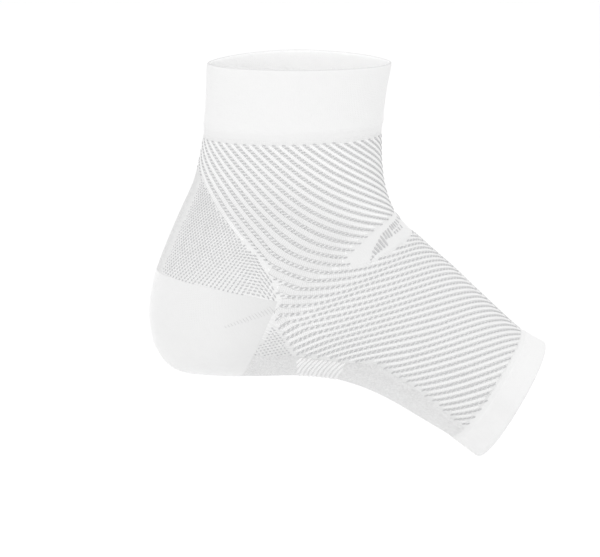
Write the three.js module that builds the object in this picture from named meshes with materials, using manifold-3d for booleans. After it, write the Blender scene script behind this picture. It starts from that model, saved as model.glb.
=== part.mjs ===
// An open-toed compression foot sleeve for the arch and heel, in the form that it takes on a foot.
//
// The sleeve is one bent tube of knitted cloth: a leg that stands upright, a heel pocket, and a foot that
// slopes down to an open toe end. Millimetres, +X towards the toes, +Y across the foot, +Z up the leg. The
// origin is the ankle centre, where the leg's axis meets the foot's axis.
//
// The tube is lofted through the flat sections of one table. Each knitted zone is that tube's wall, cut out
// along an outline drawn in the side view and extruded across the foot, so both sides of the foot match.

import * as THREE from 'three';
import { mergeVertices } from 'three/addons/utils/BufferGeometryUtils.js';
import Module from 'manifold-3d';

// Driving dimensions of the leg
const LEG_HEIGHT = 101; // ankle centre up to the rim of the cuff
const LEG_DEPTH = 90; // front to back, above the ankle
const LEG_WIDTH = 66; // side to side, above the ankle
const CUFF_HEIGHT = 33; // of the doubled band that ends the leg
const CUFF_TILT = 1; // degrees that the cuff's lower edge rises towards the front

// Driving dimensions of the heel and the front crease of the ankle
const HEEL_REACH = 70; // ankle centre back to the heel
const SOLE_DROP = 53; // ankle centre down to the sole of the heel
const HEEL_WIDTH = 68;
const CREASE_REACH = 54; // ankle centre forward to the crease
const CREASE_RISE = 24; // ankle centre up to the crease

// Driving dimensions of the foot
const FOOT_LENGTH = 126.4; // ankle centre to the plane of the toe opening
const FOOT_SLOPE = 32.4; // degrees below the level
const TOE_HEIGHT = 65.9; // of the toe opening, top to sole
const TOE_WIDTH = 90; // of the toe opening
const TOE_BAND_TOP = 13; // length of the plain band that ends the foot, along its top
const TOE_BAND_SOLE = 17; // the same, along its sole

// Thickness of the cloth in each zone, and how far the doubled cuff stands proud of the knit below it
const WRAP_WALL = 1.4;
const MESH_WALL = 1.2;
const FLEX_WALL = 1.2;
const HEEL_WALL = 1.8;
const PAD_WALL = 1.8;
const TOE_BAND_WALL = 1.8;
const CUFF_WALL = 2.4;
const CUFF_PROUD = 0.9;

const GAP = 0.3; // between neighbouring zones
const REACH_PAST = 60; // how far a cutting outline runs past the cloth

// How finely the tube is faceted
const SIDES = 40;
const RINGS_PER_SECTION = 2;

// Points of the side view, as [x, z]
const legPoint = (forward, up) => [(forward * LEG_DEPTH) / 2, up * LEG_HEIGHT];
const heelPoint = (back, down) => [-back * HEEL_REACH, -down * SOLE_DROP];
const creasePoint = (forward, up) => [forward * CREASE_REACH, up * CREASE_RISE];

const SLOPE = THREE.MathUtils.degToRad(FOOT_SLOPE);
const footPointAt = (along, up) => [
  along * Math.cos(SLOPE) + up * Math.sin(SLOPE),
  -along * Math.sin(SLOPE) + up * Math.cos(SLOPE),
];
const footPoint = (along, up) => footPointAt(along * FOOT_LENGTH, (up * TOE_HEIGHT) / 2);

// The sections, from the cuff's rim to the toe opening. Each runs from a front point to a back point of the
// side view, and is widest by the half width. "egg" widens its back end and narrows its front end, and
// "square" is the power of its superellipse: 2 is a plain ellipse. "rise" lifts its two sides above its ends.
const legSection = (front, back, width, egg, square, rise = 0) => ({
  front: legPoint(...front),
  back: legPoint(...back),
  halfWidth: (width * LEG_WIDTH) / 2,
  egg,
  square,
  rise: rise * LEG_WIDTH,
});
const heelSection = (front, back, width, egg, square) => ({
  front: creasePoint(...front),
  back: heelPoint(...back),
  halfWidth: (width * HEEL_WIDTH) / 2,
  egg,
  square,
  rise: 0,
});
const footSection = (front, back, width, egg, square) => ({
  front: footPoint(...front),
  back: footPoint(...back),
  halfWidth: (width * TOE_WIDTH) / 2,
  egg,
  square,
  rise: 0,
});

const SECTIONS = [
  // front [forward, up], back [forward, up], width, egg, square, rise
  legSection([1.075, 1.0], [-0.918, 1.0], 1.0, -0.03, 1.78, 0.02),
  legSection([1.02, 0.86], [-0.928, 0.855], 0.985, -0.03, 1.92, 0.01),
  legSection([0.98, 0.69], [-0.957, 0.68], 0.97, -0.05, 2.0),
  legSection([0.976, 0.555], [-1.008, 0.535], 0.96, -0.1, 2.05),
  legSection([0.995, 0.445], [-1.083, 0.413], 0.97, -0.15, 2.1),
  legSection([1.036, 0.358], [-1.198, 0.298], 1.0, -0.19, 2.15),
  // front [forward, up], back [back, down], width, egg, square
  heelSection([0.917, 1.18], [0.857, -0.304], 1.0, -0.19, 2.25),
  heelSection([0.963, 1.02], [0.942, -0.01], 1.02, -0.13, 2.35),
  heelSection([1.01, 0.895], [0.987, 0.236], 1.02, -0.06, 2.45),
  heelSection([1.048, 0.8], [0.999, 0.49], 1.01, 0.0, 2.55),
  heelSection([1.083, 0.72], [0.951, 0.757], 1.01, 0.05, 2.6),
  heelSection([1.126, 0.64], [0.812, 0.947], 1.02, 0.09, 2.6),
  heelSection([1.178, 0.54], [0.53, 0.997], 1.04, 0.12, 2.6),
  heelSection([1.237, 0.415], [0.26, 1.0], 1.07, 0.15, 2.55),
  // front [along, up], back [along, up], width, egg, square
  footSection([0.475, 1.297], [0.225, -1.345], 0.83, 0.17, 2.5),
  footSection([0.545, 1.253], [0.345, -1.105], 0.86, 0.19, 2.45),
  footSection([0.625, 1.187], [0.465, -0.965], 0.895, 0.2, 2.4),
  footSection([0.71, 1.12], [0.595, -0.9], 0.935, 0.19, 2.35),
  footSection([0.8, 1.05], [0.725, -0.89], 0.965, 0.17, 2.3),
  footSection([0.885, 0.995], [0.86, -0.885], 0.985, 0.14, 2.25),
  footSection([0.945, 1.0], [0.935, -0.915], 0.995, 0.11, 2.2),
  footSection([1.0, 1.01], [1.0, -0.935], 1.0, 0.09, 2.2),
];

const lerp = THREE.MathUtils.lerp;

// A smooth curve through one column of the table, read at a place from 0 to the last row
function throughRows(values, place) {
  const row = Math.min(Math.floor(place), values.length - 2);
  const u = place - row;
  const at = (i) => values[THREE.MathUtils.clamp(i, 0, values.length - 1)];
  const [a, b, c, d] = [at(row - 1), at(row), at(row + 1), at(row + 2)];
  const slopeIn = (c - a) / 2;
  const slopeOut = (d - b) / 2;
  return (
    b + u * (slopeIn + u * (3 * (c - b) - 2 * slopeIn - slopeOut + u * (slopeIn + slopeOut - 2 * (c - b))))
  );
}

const column = (read) => SECTIONS.map(read);
const COLUMNS = {
  frontX: column((s) => s.front[0]),
  frontZ: column((s) => s.front[1]),
  backX: column((s) => s.back[0]),
  backZ: column((s) => s.back[1]),
  halfWidth: column((s) => s.halfWidth),
  egg: column((s) => s.egg),
  square: column((s) => s.square),
  rise: column((s) => s.rise),
};

// A point of the tube's surface: place runs down the sections, turn goes once round from the front
function surfacePoint(place, turn) {
  const read = (name) => throughRows(COLUMNS[name], place);
  const angle = 2 * Math.PI * turn;
  const power = 2 / read('square');
  const across = Math.sign(Math.sin(angle)) * Math.abs(Math.sin(angle)) ** power;
  const along = Math.sign(Math.cos(angle)) * Math.abs(Math.cos(angle)) ** power;
  const backShare = (1 - along) / 2;
  return new THREE.Vector3(
    lerp(read('frontX'), read('backX'), backShare),
    read('halfWidth') * across * (1 - read('egg') * along),
    lerp(read('frontZ'), read('backZ'), backShare) + read('rise') * across * across,
  );
}

function surfaceNormal(place, turn) {
  const step = 0.004;
  const lastPlace = SECTIONS.length - 1;
  const above = surfacePoint(Math.max(place - step, 0), turn);
  const below = surfacePoint(Math.min(place + step, lastPlace), turn);
  const before = surfacePoint(place, turn - step);
  const after = surfacePoint(place, turn + step);
  return below.sub(above).cross(after.sub(before)).normalize();
}

const wasm = await Module();
wasm.setup();

function toSolid(geometry) {
  const bare = geometry.clone();
  bare.deleteAttribute('normal');
  bare.deleteAttribute('uv');
  const merged = mergeVertices(bare, 1e-4);
  const vertProperties = new Float32Array(merged.attributes.position.array);
  const triVerts = new Uint32Array(merged.index.array);
  return new wasm.Manifold(new wasm.Mesh({ numProp: 3, vertProperties, triVerts }));
}

function toGeometry(solid) {
  const mesh = solid.getMesh();
  const geometry = new THREE.BufferGeometry();
  geometry.setAttribute('position', new THREE.BufferAttribute(new Float32Array(mesh.vertProperties), 3));
  geometry.setIndex(new THREE.BufferAttribute(new Uint32Array(mesh.triVerts), 1));
  geometry.computeVertexNormals();
  return geometry;
}

// The whole tube as a wall from "proud" outside the surface to "proud - wall" inside it
function tubeWall(wall, proud = 0) {
  const lastPlace = SECTIONS.length - 1;
  const rings = lastPlace * RINGS_PER_SECTION;
  const positions = [];
  const addRing = (place, offset) => {
    for (let i = 0; i < SIDES; i += 1) {
      const turn = i / SIDES;
      const point = surfacePoint(place, turn).addScaledVector(surfaceNormal(place, turn), offset);
      positions.push(point.x, point.y, point.z);
    }
  };
  for (let r = 0; r <= rings; r += 1) addRing((r / rings) * lastPlace, proud);
  for (let r = rings; r >= 0; r -= 1) addRing((r / rings) * lastPlace, proud - wall);
  const index = [];
  const ringCount = 2 * (rings + 1);
  for (let r = 0; r < ringCount; r += 1) {
    const here = r * SIDES;
    const next = ((r + 1) % ringCount) * SIDES;
    for (let i = 0; i < SIDES; i += 1) {
      const j = (i + 1) % SIDES;
      index.push(here + i, next + i, next + j, here + i, next + j, here + j);
    }
  }
  const geometry = new THREE.BufferGeometry();
  geometry.setAttribute('position', new THREE.Float32BufferAttribute(positions, 3));
  geometry.setIndex(index);
  return toSolid(geometry);
}

// An outline of the side view, grown by a margin all round and extruded across the whole foot
function acrossTheFoot(outline, margin = 0) {
  const halfSpan = Math.max(LEG_WIDTH, HEEL_WIDTH, TOE_WIDTH);
  const turnsLeft = THREE.ShapeUtils.area(outline.map(([x, z]) => ({ x, y: z }))) > 0;
  const flat = new wasm.CrossSection([turnsLeft ? outline : [...outline].reverse()], 'Positive');
  const shape = margin > 0 ? flat.offset(margin, 'Miter') : flat;
  return shape.extrude(2 * halfSpan).rotate([90, 0, 0]).translate([0, halfSpan, 0]);
}

// The point a given distance beyond "to", on the line from "from"
function beyond(from, to, distance = REACH_PAST) {
  const length = Math.hypot(to[0] - from[0], to[1] - from[1]);
  const share = distance / length;
  return [to[0] + (to[0] - from[0]) * share, to[1] + (to[1] - from[1]) * share];
}

// Landmarks of the knit in the side view
const HEEL_TIP = heelPoint(0.122, 0.225); // where the heel's two edges meet, on the side of the foot
const HEEL_TOP = heelPoint(0.95, 0.02); // the heel pocket's upper edge, at the back
const HEEL_FOOT = heelPoint(0.38, 1.0); // the heel pocket's front edge, at the sole
const MESH_TOP = legPoint(-1.04, 0.49); // where the mesh above the heel begins, at the back
const FLEX_TOP = creasePoint(0.93, 1.15); // the flex patch's upper edge, at the front
const FLEX_FOOT = creasePoint(1.08, 0.735); // its lower edge, at the front
const FLEX_TIP = creasePoint(0.49, 0.29); // its tip, on the side of the ankle
const GUSSET_TIP = heelPoint(0.157, 0.42);
const GUSSET_FRONT = heelPoint(0.015, 0.73);
const GUSSET_BACK = heelPoint(0.285, 0.73);
const BAND_FOOT = heelPoint(-0.035, 1.03); // the heel band's front edge, under the sole
const ARCH_FRONT = footPoint(0.345, -0.67); // the arch rib's front edge, on the side
const ARCH_FOOT = footPoint(0.38, -1.17); // the same edge, under the sole
const PAD_SIDE = [footPoint(0.445, -0.43), footPoint(0.54, -0.44), footPoint(0.65, -0.45), footPoint(0.77, -0.515)];
const PAD_TOE = footPoint(0.88, -0.57);

// The zones' outlines. The cuff's lower edge and the toe band's edge run right across the side view
const CUFF_EDGE = LEG_HEIGHT - CUFF_HEIGHT;
const CUFF_RISE = 2 * HEEL_REACH * Math.tan(THREE.MathUtils.degToRad(CUFF_TILT));
const CUFF_OUTLINE = [
  [-2 * HEEL_REACH, CUFF_EDGE - CUFF_RISE],
  [2 * HEEL_REACH, CUFF_EDGE + CUFF_RISE],
  [2 * HEEL_REACH, LEG_HEIGHT + REACH_PAST],
  [-2 * HEEL_REACH, LEG_HEIGHT + REACH_PAST],
];
const TOE_BAND_EDGE_TOP = footPointAt(FOOT_LENGTH - TOE_BAND_TOP, TOE_HEIGHT / 2);
const TOE_BAND_EDGE_SOLE = footPointAt(FOOT_LENGTH - TOE_BAND_SOLE, -TOE_HEIGHT / 2);
const TOE_BAND_OUTLINE = [
  beyond(TOE_BAND_EDGE_SOLE, TOE_BAND_EDGE_TOP),
  beyond(TOE_BAND_EDGE_TOP, TOE_BAND_EDGE_SOLE),
  footPointAt(FOOT_LENGTH + REACH_PAST, -TOE_HEIGHT / 2 - REACH_PAST),
  footPointAt(FOOT_LENGTH + REACH_PAST, TOE_HEIGHT / 2 + REACH_PAST),
];
const HEEL_OUTLINE = [
  HEEL_TIP,
  beyond(HEEL_TIP, HEEL_TOP),
  [-HEEL_REACH - REACH_PAST, -SOLE_DROP - REACH_PAST],
  beyond(HEEL_TIP, HEEL_FOOT),
];
const MESH_OUTLINE = [
  HEEL_TIP,
  heelPoint(0.165, 0.02),
  heelPoint(0.24, -0.15),
  heelPoint(0.38, -0.335),
  heelPoint(0.55, -0.62),
  MESH_TOP,
  [-HEEL_REACH - REACH_PAST, MESH_TOP[1]],
  beyond(HEEL_TIP, HEEL_TOP),
];
const FLEX_OUTLINE = [
  creasePoint(0.47, 0.38),
  creasePoint(0.67, 0.81),
  FLEX_TOP,
  [CREASE_REACH + REACH_PAST, FLEX_TOP[1]],
  [CREASE_REACH + REACH_PAST, FLEX_FOOT[1]],
  FLEX_FOOT,
  creasePoint(0.9, 0.5),
  creasePoint(0.69, 0.29),
  creasePoint(0.52, 0.18),
];
const GUSSET_OUTLINE = [GUSSET_TIP, GUSSET_BACK, GUSSET_FRONT];
const HEEL_BAND_OUTLINE = [GUSSET_BACK, beyond(HEEL_TIP, HEEL_FOOT), beyond(GUSSET_FRONT, BAND_FOOT), GUSSET_FRONT];
const ARCH_OUTLINE = [GUSSET_FRONT, beyond(GUSSET_FRONT, BAND_FOOT), beyond(ARCH_FRONT, ARCH_FOOT), ARCH_FRONT];
const PAD_OUTLINE = [
  ARCH_FRONT,
  beyond(ARCH_FRONT, ARCH_FOOT),
  footPointAt(FOOT_LENGTH, -TOE_HEIGHT - REACH_PAST),
  footPointAt(FOOT_LENGTH, -TOE_HEIGHT / 2),
  PAD_TOE,
  ...[...PAD_SIDE].reverse(),
];
// The ankle's knit ends, and the foot's begins, on the line from the heel's tip to the flex patch's tip
const ANKLE_OUTLINE = [
  HEEL_TIP,
  beyond(HEEL_TIP, FLEX_TIP, CREASE_REACH),
  [CREASE_REACH + REACH_PAST, LEG_HEIGHT + REACH_PAST],
  [-HEEL_REACH - REACH_PAST, LEG_HEIGHT + REACH_PAST],
  beyond(HEEL_TIP, HEEL_TOP),
];

// A zone is a tube wall inside its own outline and outside its neighbours' outlines
function zone(wall, proud, outline, neighbours) {
  const inside = tubeWall(wall, proud).intersect(acrossTheFoot(outline));
  return neighbours.reduce((solid, next) => solid.subtract(acrossTheFoot(next, GAP)), inside);
}

const WHOLE_FOOT = [
  [-HEEL_REACH - REACH_PAST, -FOOT_LENGTH - REACH_PAST],
  [FOOT_LENGTH + REACH_PAST, -FOOT_LENGTH - REACH_PAST],
  [FOOT_LENGTH + REACH_PAST, LEG_HEIGHT + REACH_PAST],
  [-HEEL_REACH - REACH_PAST, LEG_HEIGHT + REACH_PAST],
];

const ENDS = [CUFF_OUTLINE, TOE_BAND_OUTLINE];
const SOLE_ZONES = [GUSSET_OUTLINE, HEEL_BAND_OUTLINE, ARCH_OUTLINE, PAD_OUTLINE];

const cuff = zone(CUFF_WALL, CUFF_PROUD, CUFF_OUTLINE, []);
const toeBand = zone(TOE_BAND_WALL, 0, TOE_BAND_OUTLINE, []);
const heelPocket = zone(HEEL_WALL, 0, HEEL_OUTLINE, []);
const heelMesh = zone(MESH_WALL, 0, MESH_OUTLINE, [HEEL_OUTLINE, CUFF_OUTLINE]);
const flexPatch = zone(FLEX_WALL, 0, FLEX_OUTLINE, []);
const ankleWrap = zone(WRAP_WALL, 0, ANKLE_OUTLINE, [...ENDS, HEEL_OUTLINE, MESH_OUTLINE, FLEX_OUTLINE]);
const footWrap = zone(WRAP_WALL, 0, WHOLE_FOOT, [
  ...ENDS,
  HEEL_OUTLINE,
  MESH_OUTLINE,
  FLEX_OUTLINE,
  ANKLE_OUTLINE,
  ...SOLE_ZONES,
]);
const gussets = zone(MESH_WALL, 0, GUSSET_OUTLINE, [HEEL_OUTLINE]).decompose();
const heelBand = zone(PAD_WALL, 0, HEEL_BAND_OUTLINE, [HEEL_OUTLINE, GUSSET_OUTLINE]);
const archRib = zone(WRAP_WALL, 0, ARCH_OUTLINE, [HEEL_BAND_OUTLINE, GUSSET_OUTLINE]);
const forefootPad = zone(PAD_WALL, 0, PAD_OUTLINE, [ARCH_OUTLINE, TOE_BAND_OUTLINE]);

// The finishes of the knit
const knit = (color, roughness) => new THREE.MeshStandardMaterial({ color, roughness, metalness: 0 });
const WHITE_RIB_KNIT = knit(0xf2f2f1, 0.9);
const STRIPED_KNIT = knit(0xe9e9e8, 0.92);
const MESH_KNIT = knit(0xdededd, 0.94);
const GREY_SOLE_KNIT = knit(0xd4d4d3, 0.95);
const HEEL_KNIT = knit(0xececeb, 0.9);

const sleeve = new THREE.Group();
sleeve.name = 'arch_support_sleeve';

function add(name, solid, material) {
  const mesh = new THREE.Mesh(toGeometry(solid), material);
  mesh.name = name;
  sleeve.add(mesh);
}

add('cuff', cuff, WHITE_RIB_KNIT);
add('ankle_wrap', ankleWrap, STRIPED_KNIT);
add('foot_wrap', footWrap, STRIPED_KNIT);
add('flex_patch', flexPatch, WHITE_RIB_KNIT);
add('heel_mesh', heelMesh, MESH_KNIT);
add('heel_pocket', heelPocket, HEEL_KNIT);
add('heel_band', heelBand, GREY_SOLE_KNIT);
add('arch_rib', archRib, MESH_KNIT);
add('forefoot_pad', forefootPad, GREY_SOLE_KNIT);
add('toe_band', toeBand, WHITE_RIB_KNIT);
gussets.forEach((gusset) => {
  const onTheLeft = gusset.boundingBox().min[1] > 0;
  add(onTheLeft ? 'heel_gusset_left' : 'heel_gusset_right', gusset, MESH_KNIT);
});

export default sleeve;
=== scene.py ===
"""Looks of an open-toed knitted sleeve for the arch and heel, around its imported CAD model.

The sleeve is knitted in the round from white and grey nylon yarn with elastane. Every zone of the knit is
a wall of the same bent tube, cut along the outline that the zone has in the side view, and it carries the
relief of its own stitch: swept ribs, floats of grey yarn, eyelets, welts and rolled edges.

All lengths inside the classes are millimetres. They become metres where a mesh is made.
"""

import logging
import math
from collections.abc import Callable, Sequence
from dataclasses import dataclass, field
from enum import Enum
from functools import partial

import bmesh
import bpy
import numpy as np
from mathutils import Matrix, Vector


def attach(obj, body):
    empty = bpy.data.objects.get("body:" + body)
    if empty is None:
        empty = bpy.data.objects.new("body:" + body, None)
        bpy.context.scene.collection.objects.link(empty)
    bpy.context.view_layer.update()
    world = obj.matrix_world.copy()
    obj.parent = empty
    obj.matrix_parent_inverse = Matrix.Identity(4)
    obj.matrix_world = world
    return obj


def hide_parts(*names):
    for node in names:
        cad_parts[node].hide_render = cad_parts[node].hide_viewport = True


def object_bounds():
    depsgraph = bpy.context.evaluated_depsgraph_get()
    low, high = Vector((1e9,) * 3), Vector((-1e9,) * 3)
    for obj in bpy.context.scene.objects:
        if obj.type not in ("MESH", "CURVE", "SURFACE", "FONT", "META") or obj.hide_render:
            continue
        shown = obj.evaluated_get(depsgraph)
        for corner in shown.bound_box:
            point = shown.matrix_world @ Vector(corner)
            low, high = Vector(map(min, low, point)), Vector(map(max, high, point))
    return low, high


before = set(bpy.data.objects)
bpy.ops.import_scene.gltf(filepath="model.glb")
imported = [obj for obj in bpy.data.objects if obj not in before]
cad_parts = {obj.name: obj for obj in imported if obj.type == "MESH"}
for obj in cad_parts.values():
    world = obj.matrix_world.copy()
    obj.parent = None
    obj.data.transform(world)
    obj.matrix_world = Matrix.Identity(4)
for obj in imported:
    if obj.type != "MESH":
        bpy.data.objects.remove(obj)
CAD_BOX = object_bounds()

log = logging.getLogger("sleeve")

MM = 0.001
BODY = "root"
UP = np.array([0.0, 0.0, 1.0])

Pair = tuple[float, float]
Outline = list[Pair]
Adder = Callable[..., bpy.types.NodeSocket]


# Form of the sleeve


class Span(Enum):
    """Which pair of named sizes a section's two ends are shares of."""

    LEG = "leg"
    HEEL = "heel"
    FOOT = "foot"


@dataclass(frozen=True)
class Section:
    """One flat section of the tube, from its front end to its back end in the side view.

    The ends are shares of the sizes that the span names. The egg widens the back end and narrows the front
    one, square is the power of the superellipse, and rise lifts the two sides above the ends.
    """

    span: Span
    front: Pair
    back: Pair
    width: float
    egg: float
    square: float
    rise: float = 0.0


SECTIONS = (
    Section(Span.LEG, (1.075, 1.0), (-0.918, 1.0), 1.0, -0.03, 1.78, 0.02),
    Section(Span.LEG, (1.02, 0.86), (-0.928, 0.855), 0.985, -0.03, 1.92, 0.01),
    Section(Span.LEG, (0.98, 0.69), (-0.957, 0.68), 0.97, -0.05, 2.0),
    Section(Span.LEG, (0.976, 0.555), (-1.008, 0.535), 0.96, -0.1, 2.05),
    Section(Span.LEG, (0.995, 0.445), (-1.083, 0.413), 0.97, -0.15, 2.1),
    Section(Span.LEG, (1.036, 0.358), (-1.198, 0.298), 1.0, -0.19, 2.15),
    Section(Span.HEEL, (0.917, 1.18), (0.857, -0.304), 1.0, -0.19, 2.25),
    Section(Span.HEEL, (0.963, 1.02), (0.942, -0.01), 1.02, -0.13, 2.35),
    Section(Span.HEEL, (1.01, 0.895), (0.987, 0.236), 1.02, -0.06, 2.45),
    Section(Span.HEEL, (1.048, 0.8), (0.999, 0.49), 1.01, 0.0, 2.55),
    Section(Span.HEEL, (1.083, 0.72), (0.951, 0.757), 1.01, 0.05, 2.6),
    Section(Span.HEEL, (1.126, 0.64), (0.812, 0.947), 1.02, 0.09, 2.6),
    Section(Span.HEEL, (1.178, 0.54), (0.53, 0.997), 1.04, 0.12, 2.6),
    Section(Span.HEEL, (1.237, 0.415), (0.26, 1.0), 1.07, 0.15, 2.55),
    Section(Span.FOOT, (0.475, 1.297), (0.225, -1.345), 0.83, 0.17, 2.5),
    Section(Span.FOOT, (0.545, 1.253), (0.345, -1.105), 0.86, 0.19, 2.45),
    Section(Span.FOOT, (0.625, 1.187), (0.465, -0.965), 0.895, 0.2, 2.4),
    Section(Span.FOOT, (0.71, 1.12), (0.595, -0.9), 0.935, 0.19, 2.35),
    Section(Span.FOOT, (0.8, 1.05), (0.725, -0.89), 0.965, 0.17, 2.3),
    Section(Span.FOOT, (0.885, 0.995), (0.86, -0.885), 0.985, 0.14, 2.25),
    Section(Span.FOOT, (0.945, 1.0), (0.935, -0.915), 0.995, 0.11, 2.2),
    Section(Span.FOOT, (1.0, 1.01), (1.0, -0.935), 1.0, 0.09, 2.2),
)


@dataclass
class SleeveForm:
    """The bent tube that the cloth follows, as a surface of a place down it and a turn round it."""

    leg_height: float = 101.0
    leg_depth: float = 90.0
    leg_width: float = 66.0
    heel_reach: float = 70.0
    sole_drop: float = 53.0
    heel_width: float = 68.0
    crease_reach: float = 54.0
    crease_rise: float = 24.0
    foot_length: float = 126.4
    foot_slope: float = 32.4
    toe_height: float = 65.9
    toe_width: float = 90.0
    # The step of a normal, and the grid, the step and the longest moves of a search in the side view
    normal_step: float = 0.004
    search_grid: tuple[int, int] = (127, 80)
    search_step: float = 1e-4
    longest_moves: Pair = (0.3, 0.02)
    columns: np.ndarray = field(init=False)

    def __post_init__(self) -> None:
        """Turn the table of shares into millimetres."""
        self.columns = np.array([self._row(section) for section in SECTIONS]).T

    def leg(self, forward: float, up: float) -> Pair:
        """Return a point of the side view from shares of the leg's sizes."""
        return forward * self.leg_depth / 2, up * self.leg_height

    def heel(self, back: float, down: float) -> Pair:
        """Return a point of the side view from shares of the heel's sizes."""
        return -back * self.heel_reach, -down * self.sole_drop

    def crease(self, forward: float, up: float) -> Pair:
        """Return a point of the side view from shares of the front crease's sizes."""
        return forward * self.crease_reach, up * self.crease_rise

    def foot_at(self, along: float, up: float) -> Pair:
        """Return a point of the side view from millimetres along and above the foot's axis.

        Args:
            along: millimetres along the axis.
            up: millimetres above it.

        Returns:
            its x and z.
        """
        slope = math.radians(self.foot_slope)
        return (
            along * math.cos(slope) + up * math.sin(slope),
            up * math.cos(slope) - along * math.sin(slope),
        )

    def foot(self, along: float, up: float) -> Pair:
        """Return a point of the side view from shares of the foot's sizes."""
        return self.foot_at(along * self.foot_length, up * self.toe_height / 2)

    def _row(self, section: Section) -> list[float]:
        """Return the eight sizes of one section.

        Args:
            section: the section, in shares.

        Returns:
            front x and z, back x and z, half width, egg, square and rise.
        """
        front_of, back_of, width = {
            Span.LEG: (self.leg, self.leg, self.leg_width),
            Span.HEEL: (self.crease, self.heel, self.heel_width),
            Span.FOOT: (self.foot, self.foot, self.toe_width),
        }[section.span]
        ends = (*front_of(*section.front), *back_of(*section.back))
        return [*ends, section.width * width / 2, section.egg, section.square, section.rise * self.leg_width]

    @property
    def end(self) -> float:
        """Return the place of the toe opening."""
        return len(SECTIONS) - 1.0

    def _read(self, place: np.ndarray) -> np.ndarray:
        """Read every column of the table at some places, on a smooth curve through its rows.

        Args:
            place: places from 0 to the last row, of any shape.

        Returns:
            the eight sizes, each in the shape of the places.
        """
        count = self.columns.shape[1]
        row, u = cell(place, count)
        a, b, c, d = (self.columns[:, np.clip(row + k, 0, count - 1)] for k in (-1, 0, 1, 2))
        slope_in, slope_out, climb = (c - a) / 2, (d - b) / 2, c - b
        bend = 3 * climb - 2 * slope_in - slope_out
        return b + u * (slope_in + u * (bend + u * (slope_in + slope_out - 2 * climb)))

    def point(self, place: np.ndarray, turn: np.ndarray) -> np.ndarray:
        """Return points of the surface.

        Args:
            place: places down the tube.
            turn: turns round it from the front, a whole turn being 1. The near side is below 0.

        Returns:
            the points, with the axes in the last dimension.
        """
        place, turn = np.broadcast_arrays(np.asarray(place, float), np.asarray(turn, float))
        front_x, front_z, back_x, back_z, half_width, egg, square, rise = self._read(place)
        angle = 2 * np.pi * turn
        power = 2 / square
        across = np.sign(np.sin(angle)) * np.abs(np.sin(angle)) ** power
        along = np.sign(np.cos(angle)) * np.abs(np.cos(angle)) ** power
        share = (1 - along) / 2
        return np.stack(
            [
                front_x + (back_x - front_x) * share,
                half_width * across * (1 - egg * along),
                front_z + (back_z - front_z) * share + rise * across**2,
            ],
            axis=-1,
        )

    def normal(self, place: np.ndarray, turn: np.ndarray) -> np.ndarray:
        """Return the outward unit normals of the surface at places and turns.

        Args:
            place: places down the tube.
            turn: turns round it.

        Returns:
            the normals.
        """
        step = self.normal_step
        above, below = np.maximum(place - step, 0.0), np.minimum(place + step, self.end)
        around = self.point(place, turn + step) - self.point(place, turn - step)
        return unit(np.cross(self.point(below, turn) - self.point(above, turn), around))

    def proud(self, place: np.ndarray, turn: np.ndarray, height: np.ndarray | float) -> np.ndarray:
        """Return points that stand a height above the surface."""
        return self.point(place, turn) + self.normal(place, turn) * np.asarray(height)[..., None]

    def locate(self, side_points: np.ndarray) -> tuple[np.ndarray, np.ndarray]:
        """Find where points of the side view lie on the near half of the surface.

        Args:
            side_points: points as x and z in the last dimension.

        Returns:
            their places and their turns.
        """
        rows, columns = self.search_grid
        near_half = -np.linspace(0.004, 0.496, columns)
        places, turns = np.meshgrid(np.linspace(0, self.end, rows), near_half, indexing="ij")
        grid = self.point(places, turns)[..., (0, 2)].reshape(-1, 2)
        goal = side_points.reshape(-1, 2)
        nearest = np.array([np.argmin(((grid - one) ** 2).sum(axis=1)) for one in goal])
        place, turn = places.ravel()[nearest], turns.ravel()[nearest]
        step = self.search_step
        most_place, most_turn = self.longest_moves
        for _ in range(6):
            here = self.point(place, turn)[:, (0, 2)]
            by_place = (self.point(place + step, turn)[:, (0, 2)] - here) / step
            by_turn = (self.point(place, turn + step)[:, (0, 2)] - here) / step
            miss = goal - here
            spread = by_place[:, 0] * by_turn[:, 1] - by_place[:, 1] * by_turn[:, 0]
            move_place = (miss[:, 0] * by_turn[:, 1] - miss[:, 1] * by_turn[:, 0]) / spread
            move_turn = (by_place[:, 0] * miss[:, 1] - by_place[:, 1] * miss[:, 0]) / spread
            place = np.clip(place + np.clip(move_place, -most_place, most_place), 0, self.end)
            turn = np.clip(turn + np.clip(move_turn, -most_turn, most_turn), -0.499, -0.001)
        return place.reshape(side_points.shape[:-1]), turn.reshape(side_points.shape[:-1])


def unit(vectors: np.ndarray) -> np.ndarray:
    """Return vectors at length 1."""
    return vectors / np.maximum(np.linalg.norm(vectors, axis=-1, keepdims=True), 1e-12)


def level_way(outward: np.ndarray) -> np.ndarray:
    """Return the level unit directions along the cloth, from the ways out of it."""
    return unit(np.cross(UP, outward))


def run_along(points: np.ndarray, axis: int = 0) -> np.ndarray:
    """Return the length reached at each point of some lines.

    Args:
        points: the points.
        axis: the axis of the array along which they follow each other.

    Returns:
        a length for each point, from 0.
    """
    steps = np.linalg.norm(np.diff(points, axis=axis), axis=-1)
    start = np.zeros_like(np.take(steps, [0], axis=axis))
    return np.concatenate([start, np.cumsum(steps, axis=axis)], axis=axis)


def cell(at: np.ndarray, count: int) -> tuple[np.ndarray, np.ndarray]:
    """Return the sample before each position in a row of samples, and the share of the step past it."""
    before = np.clip(np.floor(at), 0, count - 2).astype(int)
    return before, at - before


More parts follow.
